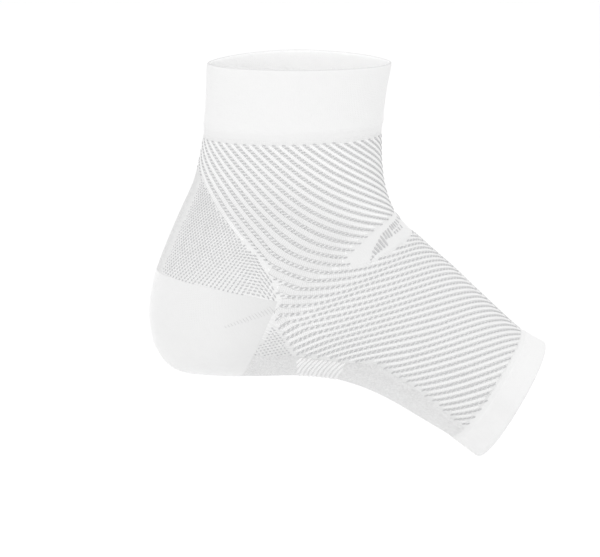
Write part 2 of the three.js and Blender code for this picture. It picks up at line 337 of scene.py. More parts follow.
def inside(outline: Sequence[Pair], points: np.ndarray) -> np.ndarray:
    """Tell which points of the side view lie inside an outline.

    Args:
        outline: the corners of the outline.
        points: points as x and z in the last dimension.

    Returns:
        a truth value for each point.
    """
    x, z = points[..., 0], points[..., 1]
    within = np.zeros(x.shape, bool)
    for (ax, az), (bx, bz) in zip(outline, [*outline[1:], outline[0]]):
        if az != bz:
            within ^= ((az > z) != (bz > z)) & (x < ax + (bx - ax) * (z - az) / (bz - az))
    return within


def edge_distance(corners: Sequence[Pair], points: np.ndarray, closed: bool = True) -> np.ndarray:
    """Return how far points of the side view lie from the line through some corners.

    Args:
        corners: the corners in order.
        points: points as x and z in the last dimension.
        closed: whether the line runs back to its first corner.

    Returns:
        a distance for each point.
    """
    far = np.full(points.shape[:-1], np.inf)
    ends = [*corners[1:], corners[0]] if closed else corners[1:]
    for start, end in zip(corners, ends):
        a, b = np.array(start), np.array(end)
        share = np.clip(((points - a) @ (b - a)) / ((b - a) @ (b - a)), 0, 1)
        far = np.minimum(far, np.linalg.norm(points - a - share[..., None] * (b - a), axis=-1))
    return far


def beyond(start: Pair, end: Pair, distance: float = 60.0) -> Pair:
    """Return the point a distance past the end of a line.

    Args:
        start: the line's start.
        end: its end.
        distance: how far to go on.

    Returns:
        the point's x and z.
    """
    length = math.hypot(end[0] - start[0], end[1] - start[1])
    share = distance / length
    return end[0] + (end[0] - start[0]) * share, end[1] + (end[1] - start[1]) * share


# Zones of the knit


class Zone(Enum):
    """The knitted zones, each named for the CAD node that it replaces."""

    CUFF = "cuff"
    TOE_BAND = "toe_band"
    HEEL = "heel_pocket"
    MESH = "heel_mesh"
    FLEX = "flex_patch"
    GUSSET = "heel_gusset"
    HEEL_BAND = "heel_band"
    ARCH = "arch_rib"
    PAD = "forefoot_pad"
    ANKLE = "ankle_wrap"
    FOOT = "foot_wrap"


@dataclass
class ZonePlan:
    """The outlines of the zones in the side view, in the order in which they take their cloth."""

    form: SleeveForm
    cuff_height: float = 33.0
    cuff_tilt: float = 1.0
    toe_band_top: float = 13.0
    toe_band_sole: float = 17.0
    reach: float = 60.0
    outlines: dict[Zone, Outline] = field(init=False)

    def __post_init__(self) -> None:
        """Draw every outline from the landmarks."""
        form, reach = self.form, self.reach
        tip = self.heel_tip = form.heel(0.122, 0.225)
        self.heel_top, self.heel_foot = form.heel(0.95, 0.02), form.heel(0.38, 1.0)
        self.gusset = [form.heel(0.157, 0.42), form.heel(0.285, 0.73), form.heel(0.015, 0.73)]
        _, gusset_back, gusset_front = self.gusset
        pad_shares = (0.345, -0.67), (0.445, -0.43), (0.54, -0.44), (0.65, -0.45), (0.77, -0.515)
        self.pad_side = [form.foot(*share) for share in (*pad_shares, (0.88, -0.57))]
        arch_front, self.arch_foot = self.pad_side[0], form.foot(0.38, -1.17)
        half = form.toe_height / 2
        self.toe_top = form.foot_at(form.foot_length - self.toe_band_top, half)
        self.toe_sole = form.foot_at(form.foot_length - self.toe_band_sole, -half)
        mesh_shares = (0.165, 0.02), (0.24, -0.15), (0.38, -0.335), (0.55, -0.62)
        mesh_top, mesh_edge = form.leg(-1.04, 0.49), [form.heel(*share) for share in mesh_shares]
        flex_top, flex_foot = form.crease(0.93, 1.15), form.crease(1.08, 0.735)
        under_heel = beyond(tip, self.heel_foot)
        under_band = beyond(gusset_front, form.heel(-0.035, 1.03))
        under_arch = beyond(arch_front, self.arch_foot)
        wide, high = 2 * form.heel_reach, form.leg_height + reach
        past, behind, front = form.foot_length + reach, -form.heel_reach - reach, form.crease_reach + reach
        self.outlines = {
            Zone.CUFF: [*((x, self.cuff_edge(x)) for x in (-wide, wide)), (wide, high), (-wide, high)],
            Zone.TOE_BAND: [
                beyond(self.toe_sole, self.toe_top),
                beyond(self.toe_top, self.toe_sole),
                form.foot_at(past, -half - reach),
                form.foot_at(past, half + reach),
            ],
            Zone.HEEL: [tip, beyond(tip, self.heel_top), (behind, -form.sole_drop - reach), under_heel],
            Zone.MESH: [tip, *mesh_edge, mesh_top, (behind, mesh_top[1]), beyond(tip, self.heel_top)],
            Zone.FLEX: [
                form.crease(0.47, 0.38),
                form.crease(0.67, 0.81),
                flex_top,
                (front, flex_top[1]),
                (front, flex_foot[1]),
                flex_foot,
                form.crease(0.9, 0.5),
                form.crease(0.69, 0.29),
                form.crease(0.52, 0.18),
            ],
            Zone.GUSSET: self.gusset,
            Zone.HEEL_BAND: [gusset_back, under_heel, under_band, gusset_front],
            Zone.ARCH: [gusset_front, under_band, under_arch, arch_front],
            Zone.PAD: [
                under_arch,
                form.foot_at(form.foot_length, -form.toe_height - reach),
                form.foot_at(form.foot_length, -half),
                *reversed(self.pad_side),
            ],
            Zone.ANKLE: [
                tip,
                beyond(tip, form.crease(0.49, 0.29), form.crease_reach),
                (front, high),
                (behind, high),
                beyond(tip, self.heel_top),
            ],
            Zone.FOOT: [(behind, -past), (past, -past), (past, high), (behind, high)],
        }

    def cuff_edge(self, x: float | np.ndarray) -> float | np.ndarray:
        """Return the height of the cuff's lower edge at a distance forward of the ankle."""
        return self.form.leg_height - self.cuff_height + x * math.tan(math.radians(self.cuff_tilt))

    def zone_of(self, points: np.ndarray) -> np.ndarray:
        """Tell which zone each point of the side view belongs to.

        Args:
            points: points as x and z in the last dimension.

        Returns:
            the zones' positions in the order of the outlines.
        """
        found = np.full(points.shape[:-1], -1)
        for index, outline in enumerate(self.outlines.values()):
            found = np.where((found < 0) & inside(outline, points), index, found)
        return found

    def is_in(self, points: np.ndarray, zones: Sequence[Zone]) -> np.ndarray:
        """Tell which points of the side view belong to a group of zones."""
        names = list(self.outlines)
        return np.isin(self.zone_of(points), [names.index(zone) for zone in zones])

    def room(self, points: np.ndarray, zones: Sequence[Zone]) -> np.ndarray:
        """Return how far points lie inside a group of zones, and a negative number outside it.

        Args:
            points: points as x and z in the last dimension.
            zones: the zones that count as one cloth.

        Returns:
            the distance from the nearest zone that isn't in the group.
        """
        nearest = np.full(points.shape[:-1], np.inf)
        for zone, outline in self.outlines.items():
            if zone not in (Zone.ANKLE, Zone.FOOT, *zones):
                nearest = np.minimum(nearest, edge_distance(outline, points))
        return np.where(self.is_in(points, zones), nearest, -1.0)


# Chart of the stripes


@dataclass
class KnitChart:
    """Wales and courses of the knit on the near half of the sleeve, and the stripes that cross them.

    A wale runs down the tube at a fixed share of the way from the front to the back. The turn count of a
    stripe grows down each wale: it makes a third of a turn from the cuff to the heel's edges, and half a
    turn more on the way to the toe band. The heel pocket itself is turned, so no stripe crosses it.
    """

    form: SleeveForm
    plan: ZonePlan
    stripes: int = 48
    leg_turn: float = 0.318
    foot_turn: float = 0.553
    leg_courses: int = 50
    foot_courses: int = 77
    # How the wales bow towards the front at the heel, and towards the sole at the toes
    heel_bow: float = 0.037
    heel_bow_place: float = 9.7
    heel_bow_spread: float = 2.2
    toe_bow: float = 0.075
    toe_bow_places: Pair = (12.0, 16.0)
    # The courses' crease point, as shares of the crease's sizes
    crease: Pair = (1.005, 1.104)
    # How late along a wale the courses take up its extra length
    leg_lateness: float = 4.7
    foot_lateness: float = 7.6
    leg_ease: float = 0.166
    foot_ease: float = 0.055
    length_blend: float = 0.154
    # The step in wale and progress over which the chart's slopes are measured
    chart_step: float = 0.004
    wales: np.ndarray = field(init=False)

    def __post_init__(self) -> None:
        """Measure the wales and lay the courses along them."""
        form, plan = self.form, self.plan
        places, turns = np.linspace(0, form.end, 361), np.linspace(0, 0.5, 181)
        self.wales = np.linspace(0.0, 1.0, 101)
        reached = run_along(form.point(places[:, None], turns[None, :]), 1)
        bow = self.heel_bow * np.exp(-(((places - self.heel_bow_place) / self.heel_bow_spread) ** 2))
        bow = bow - self.toe_bow * np.interp(places, self.toe_bow_places, (0, 1))
        wale = self.wales[None, :]
        share = np.clip(wale - 4 * bow[:, None] * wale * (1 - wale), 0, 1)
        turn = np.stack([np.interp(share[i], reached[i] / reached[i, -1], turns) for i in range(len(places))])
        points = form.point(places[:, None], -turn)
        run = run_along(points)
        side, tip = points[..., (0, 2)], np.array(plan.heel_tip)

        def crossing(start: Pair, end: Pair) -> np.ndarray:
            """Return the length along each wale at which it crosses the line from start to end."""
            way = np.subtract(end, start)
            return self._crossing((side - start) @ np.array([way[1], -way[0]]), run)

        start = self._crossing(plan.cuff_edge(side[..., 0]) - side[..., 1], run)
        to_crease = crossing(plan.heel_tip, form.crease(*self.crease))
        to_heel, from_heel = crossing(plan.heel_top, plan.heel_tip), crossing(plan.heel_foot, plan.heel_tip)
        end = crossing(plan.toe_sole, plan.toe_top)
        nearest = np.unravel_index(((side - tip) ** 2).sum(axis=-1).argmin(), side.shape[:2])[1]
        before = np.arange(len(self.wales)) <= nearest
        self.levels = np.linspace(0, 1, 241)
        leg = np.where(before, to_crease, to_heel) - start
        foot = end - np.where(before, to_crease, from_heel)
        self._places, self._turns, self._run = places, turn, run
        self._leg_run = start + self._eased(leg, self.leg_lateness, self.leg_ease)
        self._foot_run = end - self._eased(foot, self.foot_lateness, -self.foot_ease)[::-1]

    @staticmethod
    def _crossing(values: np.ndarray, run: np.ndarray) -> np.ndarray:
        """Return the length along each wale at which a value first becomes positive.

        Args:
            values: a value for each place and wale.
            run: the length reached there.

        Returns:
            a length for each wale.
        """
        below = (values[:-1] < 0) & (values[1:] >= 0)
        at = below.argmax(axis=0)
        each = np.arange(values.shape[1])
        share = -values[at, each] / (values[at + 1, each] - values[at, each])
        return run[at, each] + share * (run[at + 1, each] - run[at, each])

    def _eased(self, length: np.ndarray, lateness: float, ease: float) -> np.ndarray:
        """Spread levels from 0 to 1 along every wale.

        Neighbouring wales first advance alike, and the wales that are longer than their neighbours take up
        the difference late.

        Args:
            length: the length of each wale.
            lateness: the power with which the difference comes in.
            ease: how much the levels crowd towards one end.

        Returns:
            lengths along each wale, one row for each level.
        """
        near = np.exp(-0.5 * ((self.wales[:, None] - self.wales[None, :]) / self.length_blend) ** 2)
        even = (near / near.sum(axis=1, keepdims=True)) @ length
        share = np.linspace(0, 1, 481)
        felt = share - ease * share * (share - 1)
        level = np.interp(self.levels, felt, share)[:, None]
        return level * even + level**lateness * (length - even)

    def spot(self, wale: np.ndarray, progress: np.ndarray) -> tuple[np.ndarray, np.ndarray]:
        """Find where a wale reaches a progress.

        Args:
            wale: shares of the way from the front to the back.
            progress: 0 at the cuff, 1 at the heel's edges and 2 at the toe band. A progress of just 1 is
                the foot's side of the heel.

        Returns:
            places and turns on the near side.
        """
        wale, progress = np.broadcast_arrays(np.asarray(wale, float), np.asarray(progress, float))
        on_leg = progress < 1
        level = np.clip(np.where(on_leg, progress, progress - 1), 0, 1) * (len(self.levels) - 1)
        row, u = cell(level, len(self.levels))
        left, v = cell(np.clip(wale, 0, 1) * (len(self.wales) - 1), len(self.wales))
        sides = []
        for one in (left, left + 1):
            runs = self._leg_run, self._foot_run
            leg, foot = (table[row, one] * (1 - u) + table[row + 1, one] * u for table in runs)
            sides.append(self._along(np.where(on_leg, leg, foot), one))
        place, turn = (near * (1 - v) + far * v for near, far in zip(*sides))
        return place, -turn

    def _along(self, reach: np.ndarray, wale: np.ndarray) -> tuple[np.ndarray, np.ndarray]:
        """Find the place and turn at a length along whole-numbered wales.

        Args:
            reach: lengths along the wales.
            wale: the number of each one's wale.

        Returns:
            the places and turns.
        """
        place, turn = np.empty(reach.shape), np.empty(reach.shape)
        for one in np.unique(wale):
            here = wale == one
            place[here] = np.interp(reach[here], self._run[:, one], self._places)
            turn[here] = np.interp(place[here], self._places, self._turns[:, one])
        return place, turn

    def advance(self, progress: np.ndarray) -> np.ndarray:
        """Return the share of a turn that a stripe has made at a progress."""
        progress = np.asarray(progress, float)
        return self.leg_turn * np.minimum(progress, 1) + self.foot_turn * np.maximum(progress - 1, 0)

    def progress_at(self, advance: np.ndarray) -> np.ndarray:
        """Return the progress at which a stripe has made a share of a turn.

        Args:
            advance: shares of a turn.

        Returns:
            the progress for each.
        """
        advance = np.asarray(advance, float)
        foot = 1 + (advance - self.leg_turn) / self.foot_turn
        return np.where(advance < self.leg_turn, advance / self.leg_turn, foot)

    def pitch(self, wale: np.ndarray, progress: np.ndarray) -> np.ndarray:
        """Return the distance between neighbouring stripes, square to them.

        Args:
            wale: the wale of each spot.
            progress: its progress.

        Returns:
            the distance in millimetres.
        """
        by_wale = self._step(wale, progress, self.chart_step, 0.0)
        by_progress = self._step(wale, progress, 0.0, self.chart_step)
        rate = self.stripes * np.where(progress < 1, self.leg_turn, self.foot_turn)
        area = np.linalg.norm(np.cross(by_wale, by_progress), axis=-1)
        slant = by_progress * (self.stripes / 2) - by_wale * rate[..., None]
        return area / np.maximum(np.linalg.norm(slant, axis=-1), 1e-9)

    def _step(self, wale: np.ndarray, progress: np.ndarray, by_wale: float, by_progress: float) -> np.ndarray:
        """Return the surface's rate of change for a step in the chart.

        Args:
            wale: the wale of each spot.
            progress: its progress.
            by_wale: half the step in wale.
            by_progress: half the step in progress.

        Returns:
            a vector for each spot.
        """
        low_progress, high_progress = progress - by_progress, progress + by_progress
        crosses = (low_progress < 1) != (high_progress < 1)
        low_progress = np.where(crosses & (progress >= 1), progress, low_progress)
        high_progress = np.where(crosses & (progress < 1), progress, high_progress)
        low_wale, high_wale = np.clip(wale - by_wale, 0, 1), np.clip(wale + by_wale, 0, 1)
        low = self.form.point(*self.spot(low_wale, low_progress))
        high = self.form.point(*self.spot(high_wale, high_progress))
        span = (high_wale - low_wale) + (high_progress - low_progress)
        return (high - low) / np.maximum(span, 1e-9)[..., None]

    def course_way(self, wale: np.ndarray, progress: np.ndarray) -> np.ndarray:
        """Return the unit direction of the course through each spot."""
        return unit(self._step(wale, progress, self.chart_step, 0.0))


# Making meshes


def as_object(
    name: str, points: np.ndarray, faces: Sequence[Sequence[int]], edges: Sequence[Sequence[int]] = ()
) -> bpy.types.Object:
    """Make a mesh object from points in millimetres.

    Args:
        name: the object's name.
        points: the vertices.
        faces: corner numbers of each face.
        edges: loose edges, for a guide of lines.

    Returns:
        the linked object.
    """
    mesh = bpy.data.meshes.new(name)
    mesh.from_pydata((np.asarray(points) * MM).tolist(), list(edges), list(faces))
    mesh.validate()
    mesh.update()
    made = bpy.data.objects.new(name, mesh)
    bpy.context.collection.objects.link(made)
    return made


def shade_smooth(piece: bpy.types.Object, sharp_above: float) -> None:
    """Shade a piece smooth, apart from its sharp edges.

    Args:
        piece: the piece.
        sharp_above: the angle in degrees above which an edge stays sharp.
    """
    mesh = piece.data
    mesh.polygons.foreach_set("use_smooth", [True] * len(mesh.polygons))
    mesh.set_sharp_from_angle(angle=math.radians(sharp_above))
    mesh.update()


def turn_outwards(piece: bpy.types.Object) -> None:
    """Point the faces of a piece of closed shells outwards.

    Args:
        piece: the piece.
    """
    work = bmesh.new()
    work.from_mesh(piece.data)
    bmesh.ops.recalc_face_normals(work, faces=work.faces)
    work.to_mesh(piece.data)
    work.free()


def hand_over(piece: bpy.types.Object, slot: str, *nodes: str) -> None:
    """Give a finished piece to the frame.

    Args:
        piece: the piece.
        slot: the material slot that it is logged with.
        nodes: the CAD nodes that it stands for.
    """
    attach(piece, BODY)
    if nodes:
        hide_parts(*nodes)
    triangles = sum(len(face.vertices) - 2 for face in piece.data.polygons)
    log.info("%s: %d triangles, slot %s", piece.name, triangles, slot)


def add_node(
    tree: bpy.types.NodeTree,
    kind: str,
    *values: object,
    named: dict[int | str, object] | None = None,
    out: int | str = 0,
    **settings: object,
) -> bpy.types.NodeSocket | None:
    """Add a node to a tree, with its settings and its inputs.

    Args:
        tree: the node tree.
        kind: the node's type.
        values: what goes into its first inputs, as values or as sockets to link.
        named: what goes into its other inputs, by name or number.
        out: the output to return, by name or number.
        settings: the node's own properties.

    Returns:
        the output's socket, where the node has one.
    """
    node = tree.nodes.new(kind)
    for key, value in settings.items():
        setattr(node, key, value)
    for key, value in (*enumerate(values), *(named or {}).items()):
        if isinstance(value, bpy.types.NodeSocket):
            tree.links.new(value, node.inputs[key])
        else:
            node.inputs[key].default_value = value
    return node.outputs[out] if node.outputs else None


def grow(guide: bpy.types.Object, tree: bpy.types.NodeTree, values: dict[str, object]) -> bpy.types.Object:
    """Run a geometry tree on a guide and keep its result as the guide's plain mesh.

    Args:
        guide: the object that holds the points or lines.
        tree: the geometry tree.
        values: the tree's inputs by name.

    Returns:
        the guide, with the grown mesh and no modifier.
    """
    modifier = guide.modifiers.new("grow", "NODES")
    modifier.node_group = tree
    for item in tree.interface.items_tree:
        if item.item_type == "SOCKET" and item.in_out == "INPUT" and item.name in values:
            modifier[item.identifier] = values[item.name]
    graph = bpy.context.evaluated_depsgraph_get()
    graph.update()
    grown = guide.evaluated_get(graph)
    mesh = bpy.data.meshes.new_from_object(grown, preserve_all_data_layers=True, depsgraph=graph)
    guide.modifiers.remove(modifier)
    old, guide.data = guide.data, mesh
    bpy.data.meshes.remove(old)
    turn_outwards(guide)
    return guide


def write_on(guide: bpy.types.Object, name: str, values: np.ndarray) -> None:
    """Store a number or a vector for each vertex of a guide.

    Args:
        guide: the object.
        name: the attribute's name.
        values: a number or a vector for each vertex.
    """
    kind, key = ("FLOAT_VECTOR", "vector") if values.ndim == 2 else ("FLOAT", "value")
    made = guide.data.attributes.new(name, kind, "POINT")
    made.data.foreach_set(key, np.ascontiguousarray(values, dtype=np.float32).ravel())


def start_tree(name: str, **inputs: int | float | None) -> tuple[bpy.types.NodeTree, bpy.types.NodeOutputs]:
    """Start a geometry tree that takes and gives geometry.

    Args:
        name: the tree's name.
        inputs: its further inputs, each with its default. An input without one takes a material.

    Returns:
        the tree, and the sockets of its inputs.
    """
    tree = bpy.data.node_groups.new(name, "GeometryNodeTree")
    kinds = {int: "NodeSocketInt", float: "NodeSocketFloat", type(None): "NodeSocketMaterial"}
    for way in ("INPUT", "OUTPUT"):
        tree.interface.new_socket("Geometry", in_out=way, socket_type="NodeSocketGeometry")
    for key, default in inputs.items():
        made = tree.interface.new_socket(key, in_out="INPUT", socket_type=kinds[type(default)])
        if default is not None:
            made.default_value = default
    return tree, tree.nodes.new("NodeGroupInput").outputs


def end_tree(tree: bpy.types.NodeTree, shape: bpy.types.NodeSocket, finish: bpy.types.NodeSocket) -> None:
    """End a geometry tree with one smooth real mesh in a finish.

    Args:
        tree: the tree.
        shape: the geometry that it has made.
        finish: its input for the material.
    """
    add = partial(add_node, tree)
    real = add("GeometryNodeRealizeInstances", add("GeometryNodeSetShadeSmooth", shape))
    add("NodeGroupOutput", add("GeometryNodeSetMaterial", real, named={"Material": finish}))


def float_tree() -> bpy.types.NodeTree:
    """Build the tree that lays a spindle of yarn at every point of a guide.

    Returns:
        a geometry tree. The guide's points say which way each spindle lies, which way is out of the cloth,
        and how long it is.
    """
    tree, given = start_tree("yarn_floats", Sides=6, Rings=4, Width=0.001, Thickness=0.001, Finish=None)
    add = partial(add_node, tree)
    spindle = add("GeometryNodeMeshUVSphere", given["Sides"], given["Rings"], 0.5)
    lay = add("GeometryNodeInputNamedAttribute", "lay", data_type="FLOAT_VECTOR")
    outward = add("GeometryNodeInputNamedAttribute", "outward", data_type="FLOAT_VECTOR")
    length = add("GeometryNodeInputNamedAttribute", "length", data_type="FLOAT")
    heading = add("FunctionNodeAxesToRotation", lay, outward, primary_axis="Z", secondary_axis="X")
    size = add("ShaderNodeCombineXYZ", given["Thickness"], given["Width"], length)
    points = add("GeometryNodeMeshToPoints", given["Geometry"])
    spots = {"Instance": spindle, "Rotation": heading, "Scale": size}
    end_tree(tree, add("GeometryNodeInstanceOnPoints", points, named=spots), given["Finish"])
    return tree


def rib_tree() -> bpy.types.NodeTree:
    """Build the tree that sweeps a flat oval along every line of a guide.

    Returns:
        a geometry tree. The guide's points say which way is out of the cloth and the oval's half width. The
        swept mesh keeps the length along each line as "run".
    """
    tree, given = start_tree("swept_ribs", Sides=8, Flatness=0.25, Finish=None)
    add = partial(add_node, tree)
    outward = add("GeometryNodeInputNamedAttribute", "outward", data_type="FLOAT_VECTOR")
    half_width = add("GeometryNodeInputNamedAttribute", "half_width", data_type="FLOAT")
    lines = add("GeometryNodeMeshToCurve", given["Geometry"])
    run = {"Name": "run", "Value": add("GeometryNodeSplineParameter", out="Length")}
    measured = add("GeometryNodeStoreNamedAttribute", lines, named=run, data_type="FLOAT", domain="POINT")
    upright = add("GeometryNodeSetCurveNormal", measured, named={"Normal": outward}, mode="FREE")
    sized = add("GeometryNodeSetCurveRadius", upright, named={"Radius": half_width})
    circle = add("GeometryNodeCurvePrimitiveCircle", given["Sides"], named={"Radius": 1.0}, mode="RADIUS")
    flat = add("ShaderNodeCombineXYZ", given["Flatness"], 1.0, 1.0)
    oval = add("GeometryNodeTransform", circle, named={"Scale": flat})
    sweep = {"Profile Curve": oval, "Scale": half_width, "Fill Caps": True}
    end_tree(tree, add("GeometryNodeCurveToMesh", sized, named=sweep), given["Finish"])
    return tree


# Finishes


def linear(hex_colour: str) -> tuple[float, float, float, float]:
    """Turn an sRGB hex colour into linear numbers with an alpha of 1.

    Args:
        hex_colour: the colour as # and six digits.

    Returns:
        red, green, blue and alpha.
    """
    parts = [int(hex_colour[i : i + 2], 16) / 255 for i in (1, 3, 5)]
    red, green, blue = (p / 12.92 if p <= 0.04045 else ((p + 0.055) / 1.055) ** 2.4 for p in parts)
    return red, green, blue, 1.0


# The nodes that the finishes use more than once, and the settings that mix colours and read a stored number
MATH, MIX, NOISE, RANGE = "ShaderNodeMath", "ShaderNodeMix", "ShaderNodeTexNoise", "ShaderNodeMapRange"
OF_COLOURS = {"data_type": "RGBA", "out": 2}
READING = {"attribute_type": "GEOMETRY", "out": "Fac"}


@dataclass(frozen=True)
class ClothFinish:
    """What every knitted finish shares: two tones, and how the yarn reflects and lets light through."""

    name: str
    colour: str
    shade: str
    relief: float = 0.10
    roughness: float = 0.86
    sheen: float = 0.25
    through: float = 0.0
    depth: float = 2.5

    def start(self) -> tuple[bpy.types.Material, Adder]:
        """Start the material.

        Returns:
            the material, and the function that adds nodes to its empty tree.
        """
        made = bpy.data.materials.new(self.name)
        made.use_nodes = True
        made.node_tree.nodes.clear()
        return made, partial(add_node, made.node_tree)

    def close(self, add: Adder, colour: bpy.types.NodeSocket, height: bpy.types.NodeSocket) -> None:
        """Add the shader of nylon yarn and the output.

        Args:
            add: what adds nodes to the material's tree.
            colour: the colour.
            height: the height of the loops or fibres, for the bump.
        """
        bump = add("ShaderNodeBump", named={"Strength": 1.0, "Distance": self.relief * MM, "Height": height})
        through: bpy.types.NodeSocket | float = 0.0
        if self.through:
            free = add("ShaderNodeAttribute", attribute_name="free", **READING)
            through = add(MATH, free, self.through, operation="MULTIPLY")
        nylon = {
            "Base Color": colour,
            "Roughness": self.roughness,
            "IOR": 1.53,
            "Specular IOR Level": 0.25,
            "Sheen Weight": self.sheen,
            "Sheen Roughness": 0.5,
            "Subsurface Weight": through,
            "Subsurface Radius": (1.0, 1.0, 1.0),
            "Subsurface Scale": self.depth * MM,
            "Normal": bump,
        }
        add("ShaderNodeOutputMaterial", add("ShaderNodeBsdfPrincipled", named=nylon))


@dataclass(frozen=True)
class KnitFinish(ClothFinish):
    """Nylon and elastane knit, seen as rows of small loops with a soft sheen.

    The loops are drawn on the piece's own UV map, which holds millimetres round and down the sleeve.
    """

    # The loops are drawn about twice as coarse as the real knit's, or they would be too fine to show
    wale: float = 1.1
    course: float = 0.85
    mottle: float = 0.15
    mottle_size: float = 4.0
    fuzz_size: float = 0.5
    # The colour that the stored darkening leads to: a darker knit on the mesh's back strip, painted shade on
    # the heel and the end bands
    deep: str = "#E0E0DF"

    def make(self) -> bpy.types.Material:
        """Build the material.

        Returns:
            a material of knitted loops, which goes to its deep colour where the cloth's stored number says
            so: a darker knit on some zones and painted shade on others.
        """
        made, add = self.start()
        spot, here = add("ShaderNodeUVMap", uv_map="knit"), add("ShaderNodeTexCoord", out="Object")
        across, down = (add("ShaderNodeSeparateXYZ", spot, out=axis) for axis in (0, 1))
        # Each wale is a column of V shapes: its two legs lean down towards the column's middle
        column = add(MATH, add(MATH, across, self.wale, operation="DIVIDE"), operation="FRACT")
        off_middle = add(MATH, add(MATH, column, 0.5, operation="SUBTRACT"), operation="ABSOLUTE")
        level = add(MATH, down, self.course, operation="DIVIDE")
        row = add(MATH, off_middle, 1.3, level, operation="MULTIPLY_ADD")
        wave = add(MATH, add(MATH, row, math.pi, operation="MULTIPLY"), operation="SINE")
        slope = add(MATH, off_middle, 5.0, operation="MULTIPLY")
        valley = add(MATH, slope, 1.0, 0.3, operation="SMOOTH_MIN")
        height = add(MATH, add(MATH, wave, operation="ABSOLUTE"), valley, operation="MULTIPLY")
        cloud, fuzz = (
            add(NOISE, here, named={"Scale": 1 / (size * MM), "Detail": detail})
            for size, detail in ((self.mottle_size, 3.0), (self.fuzz_size, 2.0))
        )
        mixed = add(MATH, height, 0.6, cloud, operation="MULTIPLY_ADD")
        tone = add(RANGE, mixed, 0.3, 1.3, 0.5 - 2 * self.mottle, 0.5 + 2 * self.mottle)
        colour = add(MIX, tone, named={6: linear(self.shade), 7: linear(self.colour)}, **OF_COLOURS)
        depth = add("ShaderNodeAttribute", attribute_name="darker_tone_and_shade", **READING)
        colour = add(MIX, depth, named={6: colour, 7: linear(self.deep)}, **OF_COLOURS)
        self.close(add, colour, add(MATH, fuzz, 0.3, height, operation="MULTIPLY_ADD"))
        return made


@dataclass(frozen=True)
class YarnFinish(ClothFinish):
    """A strand or raised rib of nylon yarn, twisted, seen as fine slanting fibres.

    The fibres are drawn across the length that a swept piece keeps as "run", or in object space where a
    piece has none.
    """

    twist: float = 1.0
    swept: bool = True
    fuzz_size: float = 0.6
    # The two tones of a rib where it is broad and lies flat, and the half widths over which it takes them on
    broad: tuple[str, str] | None = None
    broadening: Pair = (0.9, 1.4)

    def make(self) -> bpy.types.Material:
        """Build the material.

        Returns:
            a material of twisted yarn.
        """
        made, add = self.start()
        here = add("ShaderNodeTexCoord", out="Object")
        height = fuzz = add(NOISE, here, named={"Scale": 1 / (self.fuzz_size * MM), "Detail": 2.0})
        if self.swept:
            run = add("ShaderNodeAttribute", attribute_name="run", **READING)
            turns = add(MATH, run, math.pi / (self.twist * MM), operation="MULTIPLY")
            wave = add(MATH, add(MATH, fuzz, 1.5, turns, operation="MULTIPLY_ADD"), operation="SINE")
            height = add(MATH, fuzz, 0.5, add(MATH, wave, operation="ABSOLUTE"), operation="MULTIPLY_ADD")
        tone = add(RANGE, height, 0.1, 0.9, 0.0, 1.0)
        colour = add(MIX, tone, named={6: linear(self.shade), 7: linear(self.colour)}, **OF_COLOURS)
        if self.broad:
            duller = add(MIX, tone, named={6: linear(self.broad[0]), 7: linear(self.broad[1])}, **OF_COLOURS)
            width = add("ShaderNodeAttribute", attribute_name="half_width", **READING)
            flat = add(RANGE, width, *(half * MM for half in self.broadening), 0.0, 1.0)
            colour = add(MIX, flat, named={6: colour, 7: duller}, **OF_COLOURS)
        self.close(add, colour, height)
        return made


class Finishes:
    """Every finish of the sleeve, made once."""

    def __init__(self) -> None:
        """Make the materials."""
        # Doubled plain knit in bright white nylon: close loops, almost even to the eye, that pass light on
        lit = {"through": 1.0, "depth": 14.0}
        # Its deep colour is painted shade in the bands' folds and under the cuff's welt, and partly the
        # single-layer hem's greyer tone
        self.doubled = KnitFinish(
            "nylon_doubled_knit", "#EDEDED", "#E9E9E9", 0.05, mottle=0.1, deep="#D6D6D6", **lit
        ).make()
        # One layer of the same knit, where the flex patch bends with the ankle
        self.plain = KnitFinish("nylon_plain_knit", "#EAEAEA", "#E5E5E5", 0.05, mottle=0.1).make()
        # The same yarn between and under the ribs, its loops a little more open
        self.ground = KnitFinish("nylon_striped_ground", "#EDEDED", "#E6E6E6", mottle=0.2).make()
        # Open mesh knit in white over grey: paler yarn round small dark eyelets
        self.mesh = KnitFinish(
            "nylon_mesh_ground", "#F1F1F1", "#E3E3E3", 0.12, mottle=0.25, deep="#E2E2E2"
        ).make()
        # Grey melange knit under the sole, a white and a grey yarn knitted together
        loops = {"wale": 0.9, "course": 0.7}
        self.grey = KnitFinish(
            "nylon_grey_melange", "#F8F8F8", "#D8D8D8", 0.12, mottle=1.0, mottle_size=1.0, **loops
        ).make()
        # Close, smooth turned-heel knit in white nylon, duller than the cuff; its deep colour is painted
        # shade, greying it towards its front
        self.heel = KnitFinish(
            "nylon_heel_knit", "#E6E6E6", "#E0E0E0", 0.04, sheen=1.0, mottle=0.12, deep="#DADADA"
        ).make()
        # Ribs of white nylon yarn, bright where they stand close and narrow and duller where they lie broad
        broad = ("#D7D7D7", "#E5E5E5")
        self.leg_rib = YarnFinish("nylon_leg_rib_yarn", "#F5F5F5", "#E6E6E6", broad=broad).make()
        # The foot's ribs in the same yarn, looser and a little duller
        self.foot_rib = YarnFinish("nylon_foot_rib_yarn", "#EDEDED", "#DCDCDC", broad=broad).make()
        # Ribs under the arch in white yarn, over a ground in the grey one
        self.arch = YarnFinish("nylon_arch_rib_yarn", "#EEEEEE", "#DEDEDE").make()
        self.arch_ground = KnitFinish("nylon_arch_ground", "#E9E9E9", "#DADADA", mottle=0.3).make()
        # Grey nylon yarn that floats between the ribs
        self.float = YarnFinish("nylon_grey_yarn", "#CECECF", "#BCBCBD", swept=False).make()
        # The same white heel yarn drawn in at the gore's slits, greyed as painted shade where the slits open
        self.shadow = YarnFinish("nylon_gore_slit_painted_shade", "#D6D6D6", "#C8C8C8", swept=False).make()


# Cloth and yarn


class Side(Enum):
    """The two sides of the foot."""

    LEFT = "left"
    RIGHT = "right"


